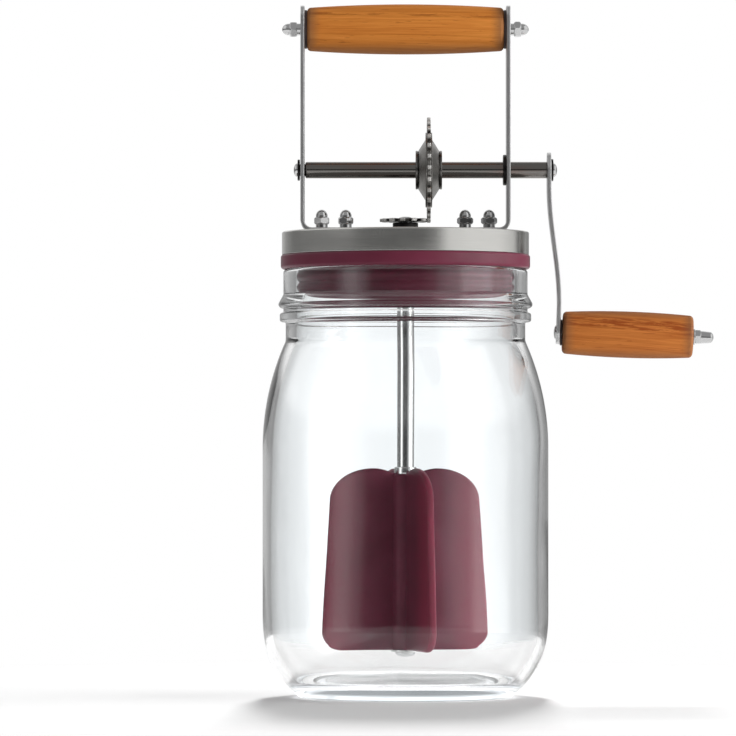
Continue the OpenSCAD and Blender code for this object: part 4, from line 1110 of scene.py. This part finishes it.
def studio_world():
    """White backdrop and soft light.

    Mirror-like surfaces see a band round the horizon, whose brightness follows the compass angle, under a
    paler sky and over a white ground. Inside the glass they see brighter boxes on both sides too. Matt
    surfaces are lit by soft boxes on the right, in front and on the left. The camera sees plain white, and
    light that passes straight through the glass is a cool white, dimmer where the jar's sides spread it.
    """
    soft_degrees, soft_height = 6, 0.05
    world = bpy.data.worlds.new("studio")
    bpy.context.scene.world = world
    world.use_nodes = True
    nodes = Nodes(world.node_tree)
    x, y, z = nodes.parts(nodes.node("TexCoord", output="Generated"))
    compass = nodes.math("ARCTAN2", x, y * -1.0) * (180 / math.pi)
    behind = nodes.math("ABSOLUTE", compass)
    turn = compass / 360 + 0.5

    def round_about(stops):
        """Brightness by compass angle, from (degrees, brightness) stops."""
        return nodes.ramp(turn, [(angle / 360 + 0.5, grey(value)) for angle, value in stops])

    def with_boxes(light, angle, boxes):
        """Lays soft boxes over a light: limits of the angle in degrees, limits of height, brightness."""
        for first, last, low, high, value in boxes:
            box = nodes.window(angle, first, last, soft_degrees) * nodes.window(z, low, high, soft_height)
            light = nodes.mix(box, light, grey(value))
        return light

    sky = with_boxes(grey(0.40), compass, [(36, 122, -1, 0.85, 1.0), (-122, -50, -1, 0.85, 0.9)])
    sky = with_boxes(sky, behind, [(140, 200, -1, 0.85, 0.9)])
    band = round_about([
        (-180, 0.60), (-163, 0.52), (-157, 0.50), (-150, 0.38), (-128, 0.22), (-90, 0.20), (-63, 0.18),
        (-35, 0.11), (-20, 0.06), (15, 0.07), (28, 0.27), (36, 0.66), (41, 0.88), (100, 0.84), (122, 0.68),
        (128, 0.24), (131, 0.14), (141, 0.16), (145, 0.48), (150, 0.48), (156, 0.28), (172, 0.34),
        (180, 0.50)])
    mirror = nodes.mix(nodes.between(z, 0.12, 0.24), band, sky)
    mirror = nodes.mix(nodes.between(z, -0.09, -0.21), mirror, grey(1.0))
    inside = with_boxes(mirror, compass, [
        (-72, -38, -0.4, 0.6, 1.0), (-64, -48, -0.4, 0.6, 2.1),
        (47, 110, -0.4, 0.6, 1.1), (58, 96, -0.4, 0.6, 3.0)])
    matt = with_boxes(grey(0.30), compass, [
        (43, 118, -0.08, 0.36, 8.4), (-60, 40, -0.5, 0.3, 0.5), (-120, -60, 0.05, 0.6, 0.8)])
    clear = round_about([
        (-180, 1.10), (-177.5, 1.08), (-174, 0.92), (-166, 0.84), (-155, 0.80), (-120, 1.0),
        (120, 1.0), (155, 0.62), (166, 0.68), (174, 0.80), (177, 1.08), (180, 1.10)])
    cool = nodes.node("VectorMath", {0: clear, 1: (0.94, 1, 1.03)}, operation="MULTIPLY")
    clear = nodes.mix(0.6, clear, cool)
    path = nodes.tree.nodes.new("ShaderNodeLightPath")
    seen, through, glossy, diffuse = [Shade(nodes, path.outputs[name]) for name in (
        "Is Camera Ray", "Transmission Depth", "Glossy Depth", "Diffuse Depth")]
    in_glass = nodes.math("GREATER_THAN", through, 0.5)
    mirrored = nodes.math("GREATER_THAN", glossy, 0.5)
    straight = in_glass * nodes.math("LESS_THAN", glossy + diffuse, 0.5)
    light = nodes.mix(mirrored, matt, nodes.mix(in_glass, mirror, inside))
    light = nodes.mix(straight, light, clear)
    light = nodes.mix(seen, light, grey(1.0))
    nodes.feed(world.node_tree.nodes["Background"], "Color", light)


def white_floor():
    """Pale round floor, faintly uneven, that fades out at its edge.

    A painted glow of emission under the jar lights the jar's foot from below and lightens the shadow there.
    """
    radius, full_share, cloud_scale, glow_scale = 0.36, 0.6, 3.0, 10.0
    painted_foot_glow = [(0.38, grey(0.50)), (0.45, grey(0.10)), (0.85, grey(0.03))]
    a = np.linspace(0, TAU, 128, endpoint=False)
    rim = np.stack([radius * np.cos(a), radius * np.sin(a), 0 * a], 1)
    mesh = bpy.data.meshes.new("white_floor")
    mesh.from_pydata(rim.tolist(), [], [list(range(len(rim)))])
    floor = added("white_floor", mesh)
    finish = Finish("white_floor")
    clouds = finish.noise(cloud_scale, 2.0)
    finish.set(Base_Color=finish.mix(clouds, grey(0.85), grey(0.87)), Roughness=0.8)
    distance = finish.round_place("Z")[1]
    # Painted glow: emission brightest under the jar, standing in for light on the jar's foot and its shadow.
    finish.set(Emission_Color=finish.ramp(distance * glow_scale, painted_foot_glow), Emission_Strength=1.0)
    finish.set(Alpha=finish.between(distance, radius * full_share, radius, 1.0, 0.0))
    mesh.materials.append(finish.material)
    return floor


def floor_lamp(floor):
    """Tall soft box high up behind the churn, which lights the floor alone and throws a shadow forwards."""
    distance, height_angle, aside = 4.0, math.radians(50), 0.1
    width, height, watts = 0.4, 1.5, 120.0
    data = bpy.data.lights.new("floor_lamp", "AREA")
    data.shape = "RECTANGLE"
    data.size = width
    data.size_y = height
    data.energy = watts
    lamp = added("floor_lamp", data)
    lamp.location = (aside, distance * math.cos(height_angle), distance * math.sin(height_angle))
    lamp.rotation_euler = (height_angle - math.pi / 2, 0, 0)
    lit = bpy.data.collections.new("floor_lamp_lights")
    lit.objects.link(floor)
    lamp.light_linking.receiver_collection = lit


def photo_camera():
    """Camera at the photograph's angle: low, far back, aimed at the frame's middle."""
    frame_px, sensor_mm, px_per_mm = 736, 36.0, 2.582
    distance, aim, eye_z = 2090.0, (-14.5, 0, 127.4), 92.0
    data = bpy.data.cameras.new("photo_camera")
    data.sensor_width = sensor_mm
    data.lens = px_per_mm * distance * sensor_mm / frame_px
    data.clip_start = 0.05
    data.clip_end = 100
    camera = added("photo_camera", data)
    camera.location = (aim[0] * MM, -distance * MM, eye_z * MM)
    tilt = math.atan2(aim[2] - eye_z, distance)
    camera.rotation_euler = (math.pi / 2 + tilt, 0, 0)
    bpy.context.scene.camera = camera


studio_world()
floor_lamp(white_floor())
photo_camera()
bpy.context.scene.view_settings.view_transform = "Standard"
